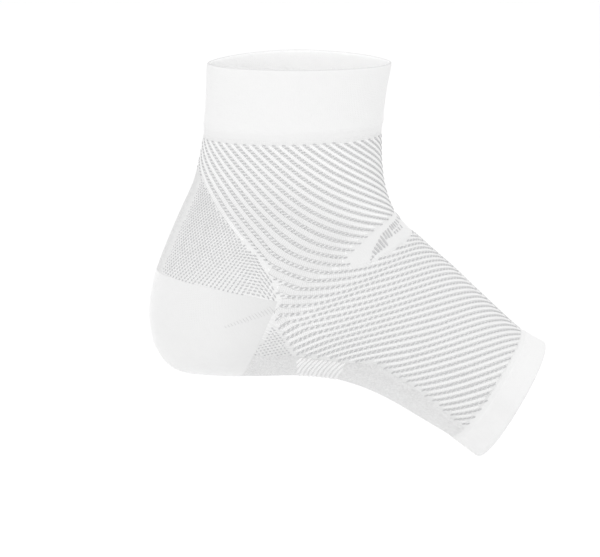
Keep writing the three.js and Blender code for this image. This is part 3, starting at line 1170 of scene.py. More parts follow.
def both_sides(points: np.ndarray) -> np.ndarray:
    """Return points or vectors followed by their mirror images across the foot."""
    return np.concatenate([points, points * np.array([1.0, -1.0, 1.0])])


def runs_of(keep: np.ndarray, points: np.ndarray, longest_step: float) -> list[np.ndarray]:
    """Split a line of points into unbroken runs.

    Args:
        keep: which points count.
        points: the points.
        longest_step: the distance between neighbours that breaks a run.

    Returns:
        the point numbers of each run.
    """
    runs: list[np.ndarray] = []
    current: list[int] = []
    for i, point in enumerate(points):
        broken = bool(current) and np.linalg.norm(point - points[current[-1]]) > longest_step
        if current and (broken or not keep[i]):
            runs.append(np.array(current))
            current = []
        if keep[i]:
            current.append(i)
    if current:
        runs.append(np.array(current))
    return runs


def tapered(points: np.ndarray, half_width: np.ndarray, taper: float, ends: Pair = (1.0, 1.0)) -> np.ndarray:
    """Round a line's ends off.

    Args:
        points: the line's points.
        half_width: its half width at each point.
        taper: the length over which an end is rounded.
        ends: how much each end is rounded, from 0 to 1.

    Returns:
        the rounded half widths.
    """
    run = run_along(points)

    def rise(distance: np.ndarray) -> np.ndarray:
        """Return the share of the full width at a distance from an end."""
        return np.sqrt(np.clip(1 - (1 - np.clip(distance / taper, 0.0, 1)) ** 2, 0.02, 1))

    first = 1 - ends[0] * (1 - rise(run))
    last = 1 - ends[1] * (1 - rise(run[-1] - run))
    return half_width * first * last


@dataclass
class Lines:
    """Lines on the near side's cloth, for ribs or strands that follow them."""

    points: list[np.ndarray] = field(default_factory=list)
    outwards: list[np.ndarray] = field(default_factory=list)
    half_widths: list[np.ndarray] = field(default_factory=list)

    def add(self, points: np.ndarray, outward: np.ndarray, half_width: np.ndarray) -> None:
        """Add one line.

        Args:
            points: its points.
            outward: the way out of the cloth at each.
            half_width: its half width there.
        """
        self.points.append(points)
        self.outwards.append(outward)
        self.half_widths.append(half_width)


@dataclass
class Strands:
    """Short strands on the near side's cloth: their middles, lays, outward ways and lengths."""

    middles: np.ndarray
    lays: np.ndarray
    outwards: np.ndarray
    lengths: np.ndarray


@dataclass(frozen=True)
class Cloth:
    """A zone's wall of cloth: its thickness, its height above the form, its slot and its word in the name."""

    wall: float
    height: float
    slot: str
    word: str = "cloth"


@dataclass
class ClothZones:
    """The cloth of every zone, cut from one fine half tube and mirrored to the far side."""

    form: SleeveForm
    plan: ZonePlan
    rings: int = 176
    sides: int = 72
    # How near an outline's edge a face has to lie to be cut, square to the edge and past its ends
    cut_margin: float = 2.5
    end_margin: float = 1.5

    def __post_init__(self) -> None:
        """Build the half tube, cut it along every outline and sort its faces by zone."""
        places = np.linspace(0, self.form.end, self.rings + 1)
        turns = -np.linspace(0, 0.5, self.sides + 1)
        points = self.form.point(places[:, None], turns[None, :])
        self._down = run_along(points)
        self._half_round = float(run_along(points, 1)[:, -1].mean())
        work = self._work = bmesh.new()
        place_layer, turn_layer = (work.verts.layers.float.new(name) for name in ("place", "turn"))
        grid = [[work.verts.new(point) for point in row] for row in points]
        for place, row in zip(places, grid):
            for turn, vertex in zip(turns, row):
                vertex[place_layer], vertex[turn_layer] = place, turn
        for upper, lower in zip(grid, grid[1:]):
            for j in range(self.sides):
                work.faces.new((upper[j], upper[j + 1], lower[j + 1], lower[j]))
        for zone, outline in self.plan.outlines.items():
            if zone is not Zone.FOOT:
                for start, end in zip(outline, [*outline[1:], outline[0]]):
                    self._cut(start, end)
        work.verts.index_update()
        self.place = np.array([v[place_layer] for v in work.verts])
        self.turn = np.array([v[turn_layer] for v in work.verts])
        self.faces = [[v.index for v in face.verts] for face in work.faces]
        side = self.form.point(self.place, self.turn)[:, (0, 2)]
        self.zones = self.plan.zone_of(np.array([side[face].mean(axis=0) for face in self.faces]))
        work.free()

    def _cut(self, start: Pair, end: Pair) -> None:
        """Cut the faces near one edge of an outline along that edge.

        Args:
            start: the edge's start.
            end: its end.
        """
        way = Vector((end[0] - start[0], 0, end[1] - start[1]))
        length = way.length
        way.normalize()
        across = Vector((way.z, 0, -way.x))
        origin = Vector((start[0], 0, start[1]))
        near = []
        for face in self._work.faces:
            offset = face.calc_center_median() - origin
            beside = abs(offset.dot(across)) < self.cut_margin
            if beside and -self.end_margin < offset.dot(way) < length + self.end_margin:
                near.append(face)
        if near:
            parts = set(near)
            for face in near:
                parts.update(face.edges)
                parts.update(face.verts)
            bmesh.ops.bisect_plane(self._work, geom=list(parts), dist=0.01, plane_co=origin, plane_no=across)

    def lay_map(self, piece: bpy.types.Object, place: np.ndarray, turn: np.ndarray) -> None:
        """Give a piece a UV map that holds millimetres round and down the sleeve.

        It runs from the front to the back on both sides, so it has no jump where the sides meet.

        Args:
            piece: the piece.
            place: the place of each vertex.
            turn: the turn of each vertex.
        """
        top, v = cell(np.clip(place / self.form.end, 0, 1) * self.rings, self.rings + 1)
        left, u = cell(np.clip(np.abs(turn) * 2, 0, 1) * self.sides, self.sides + 1)
        down = self._down
        low, high = (down[row, left] * (1 - u) + down[row, left + 1] * u for row in (top, top + 1))
        spots = np.stack([np.abs(turn) * 2 * self._half_round, -(low * (1 - v) + high * v)], axis=1)
        layer = piece.data.uv_layers.new(name="knit")
        corners = np.empty(len(piece.data.loops), dtype=np.int32)
        piece.data.loops.foreach_get("vertex_index", corners)
        layer.data.foreach_set("uv", spots[corners].astype(np.float32).ravel())

    def lay(
        self,
        zone: Zone,
        look: Cloth,
        finish: bpy.types.Material,
        only: Side | None = None,
        darker_tone_and_shade: Callable[[np.ndarray], np.ndarray] | None = None,
    ) -> None:
        """Build the cloth of one zone as a closed wall and hand it over in the place of its node.

        Args:
            zone: the zone.
            look: the wall's sizes, its slot and its word in the piece's name.
            finish: the material.
            only: one side of the foot, where the zone has a separate piece on each.
            darker_tone_and_shade: how far the finish goes to its deep colour at each point, from 0 to 1.
        """
        index = list(self.plan.outlines).index(zone)
        chosen = [face for face, where in zip(self.faces, self.zones) if where == index]
        used = np.unique(np.concatenate([np.array(face) for face in chosen]))
        renumber = {int(old): new for new, old in enumerate(used)}
        faces = [[renumber[v] for v in face] for face in chosen]
        place, turn = self.place[used], self.turn[used]
        if only is Side.LEFT:
            turn = -turn
            faces = [face[::-1] for face in faces]
        elif only is None:
            apart = (turn < -1e-5) & (turn > -0.5 + 1e-5)
            far_number = np.arange(len(used))
            far_number[apart] = len(used) + np.arange(apart.sum())
            place, turn = np.concatenate([place, place[apart]]), np.concatenate([turn, -turn[apart]])
            faces = faces + [[int(far_number[v]) for v in face[::-1]] for face in faces]
        node = f"{zone.value}_{only.value}" if only else zone.value
        outer, inner = (self.form.proud(place, turn, look.height - depth) for depth in (0.0, look.wall))
        both = np.concatenate([outer, inner])
        piece = as_object(f"{node}_{look.word}", both, self._shell(faces, len(place)))
        self.lay_map(piece, np.tile(place, 2), np.tile(turn, 2))
        if darker_tone_and_shade is not None:
            write_on(piece, "darker_tone_and_shade", np.tile(darker_tone_and_shade(outer), 2))
        piece.data.materials.append(finish)
        turn_outwards(piece)
        shade_smooth(piece, 50)
        hand_over(piece, look.slot, node)

    @staticmethod
    def _shell(faces: list[list[int]], count: int) -> list[list[int]]:
        """Return the faces of a closed wall from those of its outer surface.

        Args:
            faces: the outer faces.
            count: the number of outer vertices. The inner ones follow them in the same order.

        Returns:
            the outer and inner faces and the rims between them.
        """
        shell = list(faces) + [[v + count for v in face[::-1]] for face in faces]
        edges = {(a, b) for face in faces for a, b in zip(face, face[1:] + face[:1])}
        shell += [[b, a, a + count, b + count] for a, b in sorted(edges) if (b, a) not in edges]
        return shell


@dataclass
class Workshop:
    """What every zone is made with: the form, the plan, the chart, the cloth, the finishes and the trees."""

    form: SleeveForm = field(default_factory=SleeveForm)

    def __post_init__(self) -> None:
        """Prepare everything in order."""
        self.plan = ZonePlan(self.form)
        self.chart = KnitChart(self.form, self.plan)
        self.cloth = ClothZones(self.form, self.plan)
        self.finishes = Finishes()
        self.float_tree, self.rib_tree = float_tree(), rib_tree()

    def lay_strands(
        self, name: str, slot: str, strands: Strands, size: Pair, finish: bpy.types.Material
    ) -> None:
        """Lay spindles of yarn on both sides of the foot and hand them over.

        Args:
            name: the piece's name.
            slot: its material slot.
            strands: the strands of the near side.
            size: each one's width and thickness.
            finish: the material.
        """
        guide = as_object(name, both_sides(strands.middles), [])
        write_on(guide, "lay", both_sides(strands.lays))
        write_on(guide, "outward", both_sides(strands.outwards))
        write_on(guide, "length", np.tile(strands.lengths, 2) * MM)
        values = {"Sides": 6, "Rings": 4, "Width": size[0] * MM, "Thickness": size[1] * MM, "Finish": finish}
        hand_over(grow(guide, self.float_tree, values), slot)

    def sweep(self, name: str, slot: str, lines: Lines, flatness: float, finish: bpy.types.Material) -> None:
        """Sweep ovals along lines on both sides of the foot and hand them over.

        Args:
            name: the piece's name.
            slot: its material slot.
            lines: the lines of the near side.
            flatness: the oval's height as a share of its width.
            finish: the material.
        """
        edges: list[tuple[int, int]] = []
        start = 0
        for line in lines.points:
            edges += [(start + i, start + i + 1) for i in range(len(line) - 1)]
            start += len(line)
        edges += [(a + start, b + start) for a, b in edges]
        guide = as_object(name, both_sides(np.concatenate(lines.points)), [], edges)
        write_on(guide, "outward", both_sides(np.concatenate(lines.outwards)))
        write_on(guide, "half_width", np.tile(np.concatenate(lines.half_widths), 2) * MM)
        hand_over(grow(guide, self.rib_tree, {"Sides": 8, "Flatness": flatness, "Finish": finish}), slot)

    def on_cloth(self, side_points: np.ndarray, height: float) -> tuple[np.ndarray, np.ndarray]:
        """Put points of the side view on the near side's cloth.

        Args:
            side_points: the points as x and z.
            height: the height above the form's surface.

        Returns:
            the points on the cloth, and the ways out of it.
        """
        place, turn = self.form.locate(side_points)
        return self.form.proud(place, turn, height), self.form.normal(place, turn)


# Pieces of the sleeve


@dataclass
class EndBand:
    """A plain doubled band round one end of the sleeve, as one closed ring of cloth.

    The profile runs once round the band's section. Each corner holds a share of the way from the band's
    inner edge to its free end, and a height above the form's surface.
    """

    shop: Workshop
    name: str
    zone: Zone
    edge: tuple[Pair, Pair]
    end_place: float
    search: Pair
    profile: list[Pair]
    ripple: float = 0.0
    # The share of the band next to its inner edge that is one layer thick, how much darker it is drawn there,
    # partly for the single layer's greyer tone and partly as painted shade where the welt rolls under, and
    # how soon that fades
    hem: float = 0.0
    hem_tone_and_shade: float = 0.13
    hem_fade: float = 0.02
    # The shares where painted shade darkens the fold at the free end, and where the lining starts to let
    # light through
    fold: Pair = (0.975, 0.99)
    lit: Pair = (0.05, 0.3)
    lining_below: float = -0.5
    sides: int = 200

    def _edge_places(self, turns: np.ndarray) -> np.ndarray:
        """Return the place at which each turn crosses the band's inner edge.

        Args:
            turns: turns round the tube.

        Returns:
            a place for each turn.
        """
        places = np.linspace(*self.search, 400)
        start, end = (np.array(point) for point in self.edge)
        way = end - start
        side = self.shop.form.point(places[:, None], turns[None, :])[..., (0, 2)] - start
        past = side @ np.array([-way[1], way[0]])
        sign = np.sign(past[-1] - past[0])
        return np.array([np.interp(0, past[:, j] * sign[j], places) for j in range(len(turns))])

    def build(self) -> None:
        """Build the band and hand it over."""
        turns = (np.arange(self.sides) / self.sides) - 0.5
        edge = self._edge_places(turns)
        share, height = (np.array(column)[:, None] for column in zip(*self.profile))
        place = edge + (self.end_place - edge) * share
        turn = np.broadcast_to(turns, place.shape)
        wave = self.ripple * np.sin(6 * np.pi * turn + 1.0) * np.clip(share - 0.6, 0, 1)
        points = self.shop.form.proud(place, turn, height + wave).reshape(-1, 3)
        number = np.arange(place.size).reshape(place.shape)
        after = np.roll(number, -1, axis=1)
        corners = np.stack([number, after, np.roll(after, -1, axis=0), np.roll(number, -1, axis=0)], axis=-1)
        piece = as_object(self.name, points, corners.reshape(-1, 4).tolist())
        self.shop.cloth.lay_map(piece, place.ravel(), turn.ravel())
        free = np.where(height < self.lining_below, np.interp(share, self.lit, (0, 1)), 0.0)
        # Darker at the hem, partly the single layer's tone and partly painted shade under the welt, and
        # painted shade in the fold at the free end
        hem_tone_and_painted_shade = self.hem_tone_and_shade * np.clip((self.hem - share) / self.hem_fade, 0, 1)
        dark = hem_tone_and_painted_shade + np.interp(share, self.fold, (0, 1))
        for name, values in (("free", free), ("darker_tone_and_shade", dark)):
            write_on(piece, name, (values * np.ones(place.shape)).ravel())
        piece.data.materials.append(self.shop.finishes.doubled)
        turn_outwards(piece)
        shade_smooth(piece, 60)
        hand_over(piece, "knit_white", self.zone.value)


def cuff_band(shop: Workshop) -> EndBand:
    """Return the doubled cuff, whose lower edge is a soft welt and whose rim is a rounded fold.

    Args:
        shop: what it is made with.

    Returns:
        the band, not built yet.
    """
    edge = tuple((x, shop.plan.cuff_edge(x)) for x in (-2 * shop.form.heel_reach, 2 * shop.form.heel_reach))
    welt = [
        (-0.035, -0.6), (-0.035, -0.2), (-0.02, -0.1), (0.0, -0.03), (0.02, 0.06), (0.045, 0.12),
        (0.065, 0.22), (0.085, 0.42), (0.105, 0.54), (0.13, 0.55), (0.155, 0.46), (0.19, 0.36), (0.25, 0.3),
    ]
    outside = [(0.4, 0.34), (0.55, 0.42), (0.7, 0.5), (0.85, 0.56), (0.93, 0.5), (0.965, 0.38), (0.985, 0.18)]
    rim = [(0.996, -0.05), (1.0, -0.25), (0.997, -0.45), (0.985, -0.62), (0.965, -0.75), (0.93, -0.85)]
    lining = [(0.85, -1.0), (0.7, -1.2), (0.5, -1.3), (0.3, -1.4), (0.15, -1.4), (0.04, -1.35), (-0.02, -1.1)]
    profile, search = welt + outside + rim + lining, (0.0, 4.0)
    return EndBand(shop, "cuff_doubled_band", Zone.CUFF, edge, 0.0, search, profile, ripple=0.4, hem=0.075)


def toe_end_band(shop: Workshop) -> EndBand:
    """Return the plain band round the open toe end, whose rim is a tight fold.

    Args:
        shop: what it is made with.

    Returns:
        the band, not built yet.
    """
    edge, end = (shop.plan.toe_top, shop.plan.toe_sole), shop.form.end
    outside = [
        (-0.07, -0.7), (-0.07, -0.25), (-0.03, -0.12), (0.0, -0.04), (0.04, 0.04), (0.08, 0.1), (0.11, 0.26),
        (0.15, 0.3), (0.19, 0.2), (0.24, 0.1), (0.4, 0.05), (0.6, 0.05), (0.8, 0.08),
    ]
    rim = [(0.92, 0.1), (0.965, 0.0), (0.988, -0.25), (1.0, -0.65), (0.99, -1.1), (0.97, -1.3)]
    lining = [(0.9, -1.4), (0.7, -1.5), (0.4, -1.5), (0.15, -1.5), (0.0, -1.4), (-0.05, -1.1)]
    profile = outside + rim + lining
    return EndBand(shop, "toe_plain_band", Zone.TOE_BAND, edge, end, (end - 5, end), profile, hem=0.1)


@dataclass
class StripedWrap:
    """The striped knit round the ankle or over the foot: white ribs, with grey floats between them."""

    shop: Workshop
    zone: Zone
    cloth: Cloth = Cloth(1.28, -0.12, "knit_striped", "ground")
    # The floats' lengths on the leg and on the foot, and their width and thickness
    float_lengths: Pair = (2.05, 2.5)
    float_size: Pair = (0.8, 0.5)
    float_height: float = 0.1
    # How far the floats and the ribs stay inside the zone, and the floats below the cuff
    float_room: float = 0.3
    rib_room: float = 1.1
    cuff_room: float = 2.6
    rib_flatness: float = 0.16
    rib_half_widths: Pair = (0.45, 2.1)
    rib_taper: float = 2.0
    furrow: float = 1.35
    longest_step: float = 4.0
    fewest_points: int = 4
    # How much each float leans along its stripe, and how nearly level it lies on the leg
    foot_leans: Pair = (0.28, 0.7)
    leg_lean: float = 0.2
    leg_level: float = 0.66
    # The progress over which the floats change from the leg's lay to the foot's
    change: Pair = (0.85, 1.15)

    def _room(self, points: np.ndarray) -> np.ndarray:
        """Return how far points lie inside the striped cloth, less the plain courses under the cuff.

        Args:
            points: points of the surface.

        Returns:
            a distance for each, and -1 outside it.
        """
        side = points[:, (0, 2)]
        under_cuff = self.shop.plan.cuff_edge(side[:, 0]) - side[:, 1] > self.cuff_room
        return np.where(under_cuff, self.shop.plan.room(side, (Zone.ANKLE, Zone.FOOT)), -1.0)

    def floats(self) -> Strands:
        """Lay out the floats of grey yarn: one for each course of each stripe.

        Returns:
            the floats of this zone.
        """
        chart, form = self.shop.chart, self.shop.form
        leg = (np.arange(chart.leg_courses) + 0.5) / chart.leg_courses
        foot = 1 + (np.arange(chart.foot_courses) + 0.5) / chart.foot_courses
        courses, stripes = np.concatenate([leg, foot]), np.arange(2 * chart.stripes)
        progress, stripe = np.meshgrid(courses, stripes, indexing="ij")
        wale = 2 * (stripe / chart.stripes - chart.advance(progress))
        on_half = (wale > 0.004) & (wale < 0.996)
        wale, progress = wale[on_half], progress[on_half]
        points = form.point(*chart.spot(wale, progress))
        fits = (self._room(points) > self.float_room) & self.shop.plan.is_in(points[:, (0, 2)], (self.zone,))
        wale, progress = wale[fits], progress[fits]
        place, turn = chart.spot(wale, progress)
        outward = form.normal(place, turn)
        forward = -chart.course_way(wale, progress)
        step = 2e-3
        ahead = chart.spot(np.clip(wale - 2 * step, 0, 1), chart.progress_at(chart.advance(progress) + step))
        along = unit(form.point(*ahead) - form.point(place, turn))
        along *= np.sign((along * forward).sum(axis=1))[:, None]
        on_foot = np.interp(progress, self.change, (0, 1))[:, None]
        foot_lean = np.interp(progress, (1.0, 1.9), self.foot_leans)[:, None]
        lean = foot_lean * on_foot + self.leg_lean * (1 - on_foot)
        flat = self.leg_level * (1 - on_foot)
        lay = unit(forward * (1 - lean - flat) + along * lean + level_way(outward) * flat)
        middle = form.proud(place, turn, self.cloth.height + self.float_height)
        return Strands(middle, lay, outward, np.interp(on_foot[:, 0], (0, 1), self.float_lengths))

    def ribs(self) -> Lines:
        """Lay out the ribs, halfway between the lines of floats.

        Returns:
            the ribs of this zone.
        """
        chart, form, lines = self.shop.chart, self.shop.form, Lines()
        other = Zone.FOOT if self.zone is Zone.ANKLE else Zone.ANKLE
        for stripe in np.arange(0.5, 1.5 * chart.stripes):
            wale = np.linspace(1.0, 0.0, 120)
            progress = chart.progress_at(stripe / chart.stripes - wale / 2)
            valid = (progress > 0) & (progress < 2)
            wale, progress = wale[valid], progress[valid]
            if len(wale) < self.fewest_points:
                continue
            place, turn = chart.spot(wale, progress)
            points = form.point(place, turn)
            room = self._room(points)
            here, goes_on = (self.shop.plan.is_in(points[:, (0, 2)], (zone,)) for zone in (self.zone, other))
            for run in runs_of(here & (room > self.rib_room), points, self.longest_step):
                opens = run[0] > 0 and goes_on[run[0] - 1], run[-1] < len(wale) - 1 and goes_on[run[-1] + 1]
                if opens[1]:
                    run = np.append(run, run[-1] + 1)
                if len(run) < self.fewest_points:
                    continue
                bare = chart.pitch(wale[run], progress[run]) - self.furrow
                half = np.clip(0.5 * bare, *self.rib_half_widths)
                half = np.minimum(half, np.maximum(room[run] - 0.1, 0.3))
                at_seam = wale[run[0]] > 0.99, wale[run[-1]] < 0.01
                ends = tuple(0.0 if opens[k] or at_seam[k] else 1.0 for k in (0, 1))
                line = form.proud(place[run], turn[run], self.cloth.height)
                half = tapered(line, half, self.rib_taper, ends)
                lines.add(line, form.normal(place[run], turn[run]), half)
        return lines

    def build(self) -> None:
        """Build the ground, the ribs and the floats and hand them over."""
        shop, finishes, name = self.shop, self.shop.finishes, self.zone.value
        rib = finishes.leg_rib if self.zone is Zone.ANKLE else finishes.foot_rib
        shop.cloth.lay(self.zone, self.cloth, finishes.ground)
        shop.sweep(f"{name}_ribs", "knit_white", self.ribs(), self.rib_flatness, rib)
        shop.lay_strands(f"{name}_floats", "yarn_grey", self.floats(), self.float_size, finishes.float)


@dataclass
class HeelMesh:
    """The mesh above the heel: rows of small grey eyelets, with a plain strip down the back."""

    shop: Workshop
    cloth: Cloth = Cloth(1.2, -0.1, "knit_mesh")
    # The steps from eyelet to eyelet and from row to row, and how the rows drop towards the back
    pitch: float = 1.5
    row_pitch: float = 1.6
    row_lean: float = 0.11
    # The eyelets' lean in degrees over the heel and at the zone's front tip
    eyelet_leans: Pair = (50.0, -58.0)
    eyelet_length: float = 1.28
    eyelet_size: Pair = (0.86, 0.36)
    eyelet_lift: float = 0.04
    edge_room: float = 0.15
    # The plain strip's half width at the heel's top and 40 mm above the ankle, and the reach of its fading
    strip_half_widths: Pair = (11.0, 10.0)
    strip_rise: float = 40.0
    fade: float = 5.0
    # How much longer the eyelets are towards the zone's front tip, over a stretch of x
    tip_growth: float = 0.8
    tip_stretch: Pair = (-30.0, -13.0)
    half_round: float = 118.0
    leg_run: float = 98.0

    def eyelets(self) -> Strands:
        """Lay out the eyelets in rows that step half a pitch from one row to the next.

        Returns:
            the eyelets.
        """
        shop = self.shop
        rows, columns = round(self.leg_run / self.row_pitch), round(self.half_round / self.pitch)
        row, column = np.meshgrid(np.arange(-8, rows), np.arange(columns), indexing="ij")
        wale = ((column + 0.5 * (row % 2) + 0.25) / columns).ravel()
        progress = (row.ravel() + 0.5) / rows + self.row_lean * (1 - wale)
        on_leg = (progress > 0.01) & (progress < 0.9995)
        place, turn = shop.chart.spot(wale[on_leg], progress[on_leg])
        points = shop.form.point(place, turn)
        clear = self._clear(points)
        fits = (shop.plan.room(points[:, (0, 2)], (Zone.MESH,)) > self.edge_room) & (clear > 0)
        size = 0.5 + 0.5 * np.clip(clear / self.fade, 0, 1)
        size += self.tip_growth * np.interp(points[:, 0], self.tip_stretch, (0.0, 1.0))
        lean = np.radians(np.interp(points[fits, 0], self.tip_stretch, self.eyelet_leans))[:, None]
        place, turn = place[fits], turn[fits]
        outward = shop.form.normal(place, turn)
        level = level_way(outward)
        lays = np.cos(lean) * level + np.sin(lean) * np.cross(outward, level)
        middles = shop.form.proud(place, turn, self.cloth.height + self.eyelet_lift)
        return Strands(middles, lays, outward, self.eyelet_length * size[fits])

    def _clear(self, points: np.ndarray) -> np.ndarray:
        """Return how far points lie outside the plain strip down the back."""
        return np.abs(points[:, 1]) - np.interp(points[:, 2], (0.0, self.strip_rise), self.strip_half_widths)

    def _strip(self, points: np.ndarray) -> np.ndarray:
        """Return 1 on the plain strip down the back and 0 elsewhere, with a soft edge."""
        return np.clip(0.2 - self._clear(points) / self.fade, 0, 1)

    def build(self) -> None:
        """Build the cloth and the eyelets and hand them over."""
        finishes = self.shop.finishes
        self.shop.cloth.lay(Zone.MESH, self.cloth, finishes.mesh, darker_tone_and_shade=self._strip)
        eyelets = self.eyelets()
        self.shop.lay_strands("heel_mesh_eyelets", "yarn_grey", eyelets, self.eyelet_size, finishes.float)


@dataclass
class Gussets:
    """The two small mesh wedges beside the heel, with eyelets in slanting rows."""

    shop: Workshop
    cloth: Cloth = Cloth(1.2, -0.1, "knit_mesh")
    # The steps from one eyelet to the next, along its row and down to the next row
    row_step: Pair = (1.78, 0.45)
    down_step: Pair = (0.98, -1.17)
    eyelet_length: float = 1.1
    eyelet_size: Pair = (0.65, 0.36)
    eyelet_lift: float = 0.04
    edge_room: float = 0.15

    def eyelets(self) -> Strands:
        """Lay out the eyelets on a slanting grid of the side view.

        Returns:
            the eyelets.
        """
        plan = self.shop.plan
        along, down = (steps.reshape(-1, 1) for steps in np.meshgrid(np.arange(-20, 21), np.arange(-20, 21)))
        side = np.mean(plan.gusset, axis=0) + along * self.row_step + down * self.down_step
        side = side[plan.room(side, (Zone.GUSSET,)) > self.edge_room]
        middles, outward = self.shop.on_cloth(side, self.cloth.height + self.eyelet_lift)
        return Strands(middles, level_way(outward), outward, np.full(len(side), self.eyelet_length))

    def build(self) -> None:
        """Build both wedges and their eyelets and hand them over."""
        finishes = self.shop.finishes
        for side in Side:
            self.shop.cloth.lay(Zone.GUSSET, self.cloth, finishes.mesh, side)
        eyelets = self.eyelets()
        self.shop.lay_strands("heel_gusset_eyelets", "yarn_grey", eyelets, self.eyelet_size, finishes.float)


@dataclass
class HeelPocket:
    """The turned heel: smooth cloth, and a gore line of small slits on each side."""

    shop: Workshop
    cloth: Cloth = Cloth(1.8, 0.08, "knit_heel")
    # The gore line's ends as shares of the heel's sizes, and its slits' step, lengths, section and lean
    gore_ends: tuple[Pair, Pair] = ((0.16, 0.3), (0.485, 0.462))
    slit_pitch: float = 1.55
    slit_lengths: Pair = (4.4, 1.6)
    slit_size: Pair = (0.42, 0.12)
    slit_lean: float = 0.35
    # The stretch of x over which painted shade greys the cloth towards the heel's front
    painted_shade_span: Pair = (-40.0, -6.0)

    def gore(self) -> Strands:
        """Lay out the slits along the gore line, square to it.

        Returns:
            the slits.
        """
        start, end = (np.array(self.shop.form.heel(*share)) for share in self.gore_ends)
        count = round(float(np.linalg.norm(end - start)) / self.slit_pitch)
        side = start + (end - start) * np.linspace(0, 1, count)[:, None]
        middles, outward = self.shop.on_cloth(side, self.cloth.height)
        ahead = unit(self.shop.on_cloth(side + (end - start) * 0.01, self.cloth.height)[0] - middles)
        lays = unit(np.cross(ahead, outward) + self.slit_lean * ahead)
        return Strands(middles, lays, outward, np.linspace(*self.slit_lengths, count))

    def _painted_shade_forward(self, points: np.ndarray) -> np.ndarray:
        """Return how much painted shade darkens the cloth, from 0 at the back of the heel to 1 at its front.
        """
        return np.interp(points[:, 0], self.painted_shade_span, (0.0, 1.0))

    def build(self) -> None:
        """Build the pocket and its slits and hand them over."""
        finishes = self.shop.finishes
        # The heel's deep colour is painted shade, darker towards its front
        self.shop.cloth.lay(Zone.HEEL, self.cloth, finishes.heel, darker_tone_and_shade=self._painted_shade_forward)
        gore = self.gore()
        # Grey spindles in the slits are painted shade
        self.shop.lay_strands("heel_pocket_gore_slits", "knit_heel", gore, self.slit_size, finishes.shadow)


@dataclass(frozen=True)
class Rungs:
    """Evenly spaced bars of the flex patch's ladder, their ends as shares of the crease's sizes."""

    count: int
    first: tuple[Pair, Pair]
    last: tuple[Pair, Pair]


@dataclass
class FlexPatch:
    """The plain lens over the front crease, with a ladder of short grey bars across it."""

    shop: Workshop
    cloth: Cloth = Cloth(1.2, -0.06, "knit_white")
    # The half width and the flatness of the bars, and those of the ridges between them
    bar: Pair = (0.56, 0.5)
    ridge: Pair = (0.2, 1.2)
    taper: float = 0.5
    # From the lens's lower tip upwards, and then the short row beside the ladder
    ladder: tuple[Rungs, ...] = (
        Rungs(2, ((0.689, 0.331), (0.698, 0.303)), ((0.700, 0.391), (0.723, 0.356))),
        Rungs(5, ((0.704, 0.493), (0.746, 0.414)), ((0.779, 0.796), (0.853, 0.565))),
        Rungs(3, ((0.803, 0.850), (0.844, 0.698)), ((0.846, 0.923), (0.896, 0.741))),
        Rungs(6, ((0.866, 0.962), (0.899, 0.855)), ((0.944, 1.048), (0.984, 0.962))),
        Rungs(4, ((0.908, 0.835), (0.929, 0.785)), ((0.966, 0.925), (0.995, 0.848))),
    )

    def bars(self, between: bool, half_width: float) -> Lines:
        """Lay out the bars, or the white ridges between them.

        Args:
            between: whether to lay out the ridges.
            half_width: half the width of each one.

        Returns:
            their lines.
        """
        lines = Lines()
        for rungs in self.ladder:
            places = np.linspace(0, 1, rungs.count)
            if between:
                places = (places[1:] + places[:-1]) / 2
            pairs = rungs.first, rungs.last
            first, last = (np.array([self.shop.form.crease(*end) for end in pair]) for pair in pairs)
            for place in places:
                upper, lower = (1 - place) * first + place * last
                side = upper + (lower - upper) * np.linspace(0, 1, 9)[:, None]
                points, outward = self.shop.on_cloth(side, self.cloth.height)
                lines.add(points, outward, tapered(points, np.full(len(points), half_width), self.taper))
        return lines

    def build(self) -> None:
        """Build the lens, the bars and the ridges between them and hand them over."""
        finishes = self.shop.finishes
        self.shop.cloth.lay(Zone.FLEX, self.cloth, finishes.plain)
        for word, slot, between, (half_width, flatness), finish in (
            ("bars", "yarn_grey", False, self.bar, finishes.float),
            ("ridges", "knit_white", True, self.ridge, finishes.foot_rib),
        ):
            lines = self.bars(between, half_width)
            self.shop.sweep(f"flex_patch_ladder_{word}", slot, lines, flatness, finish)


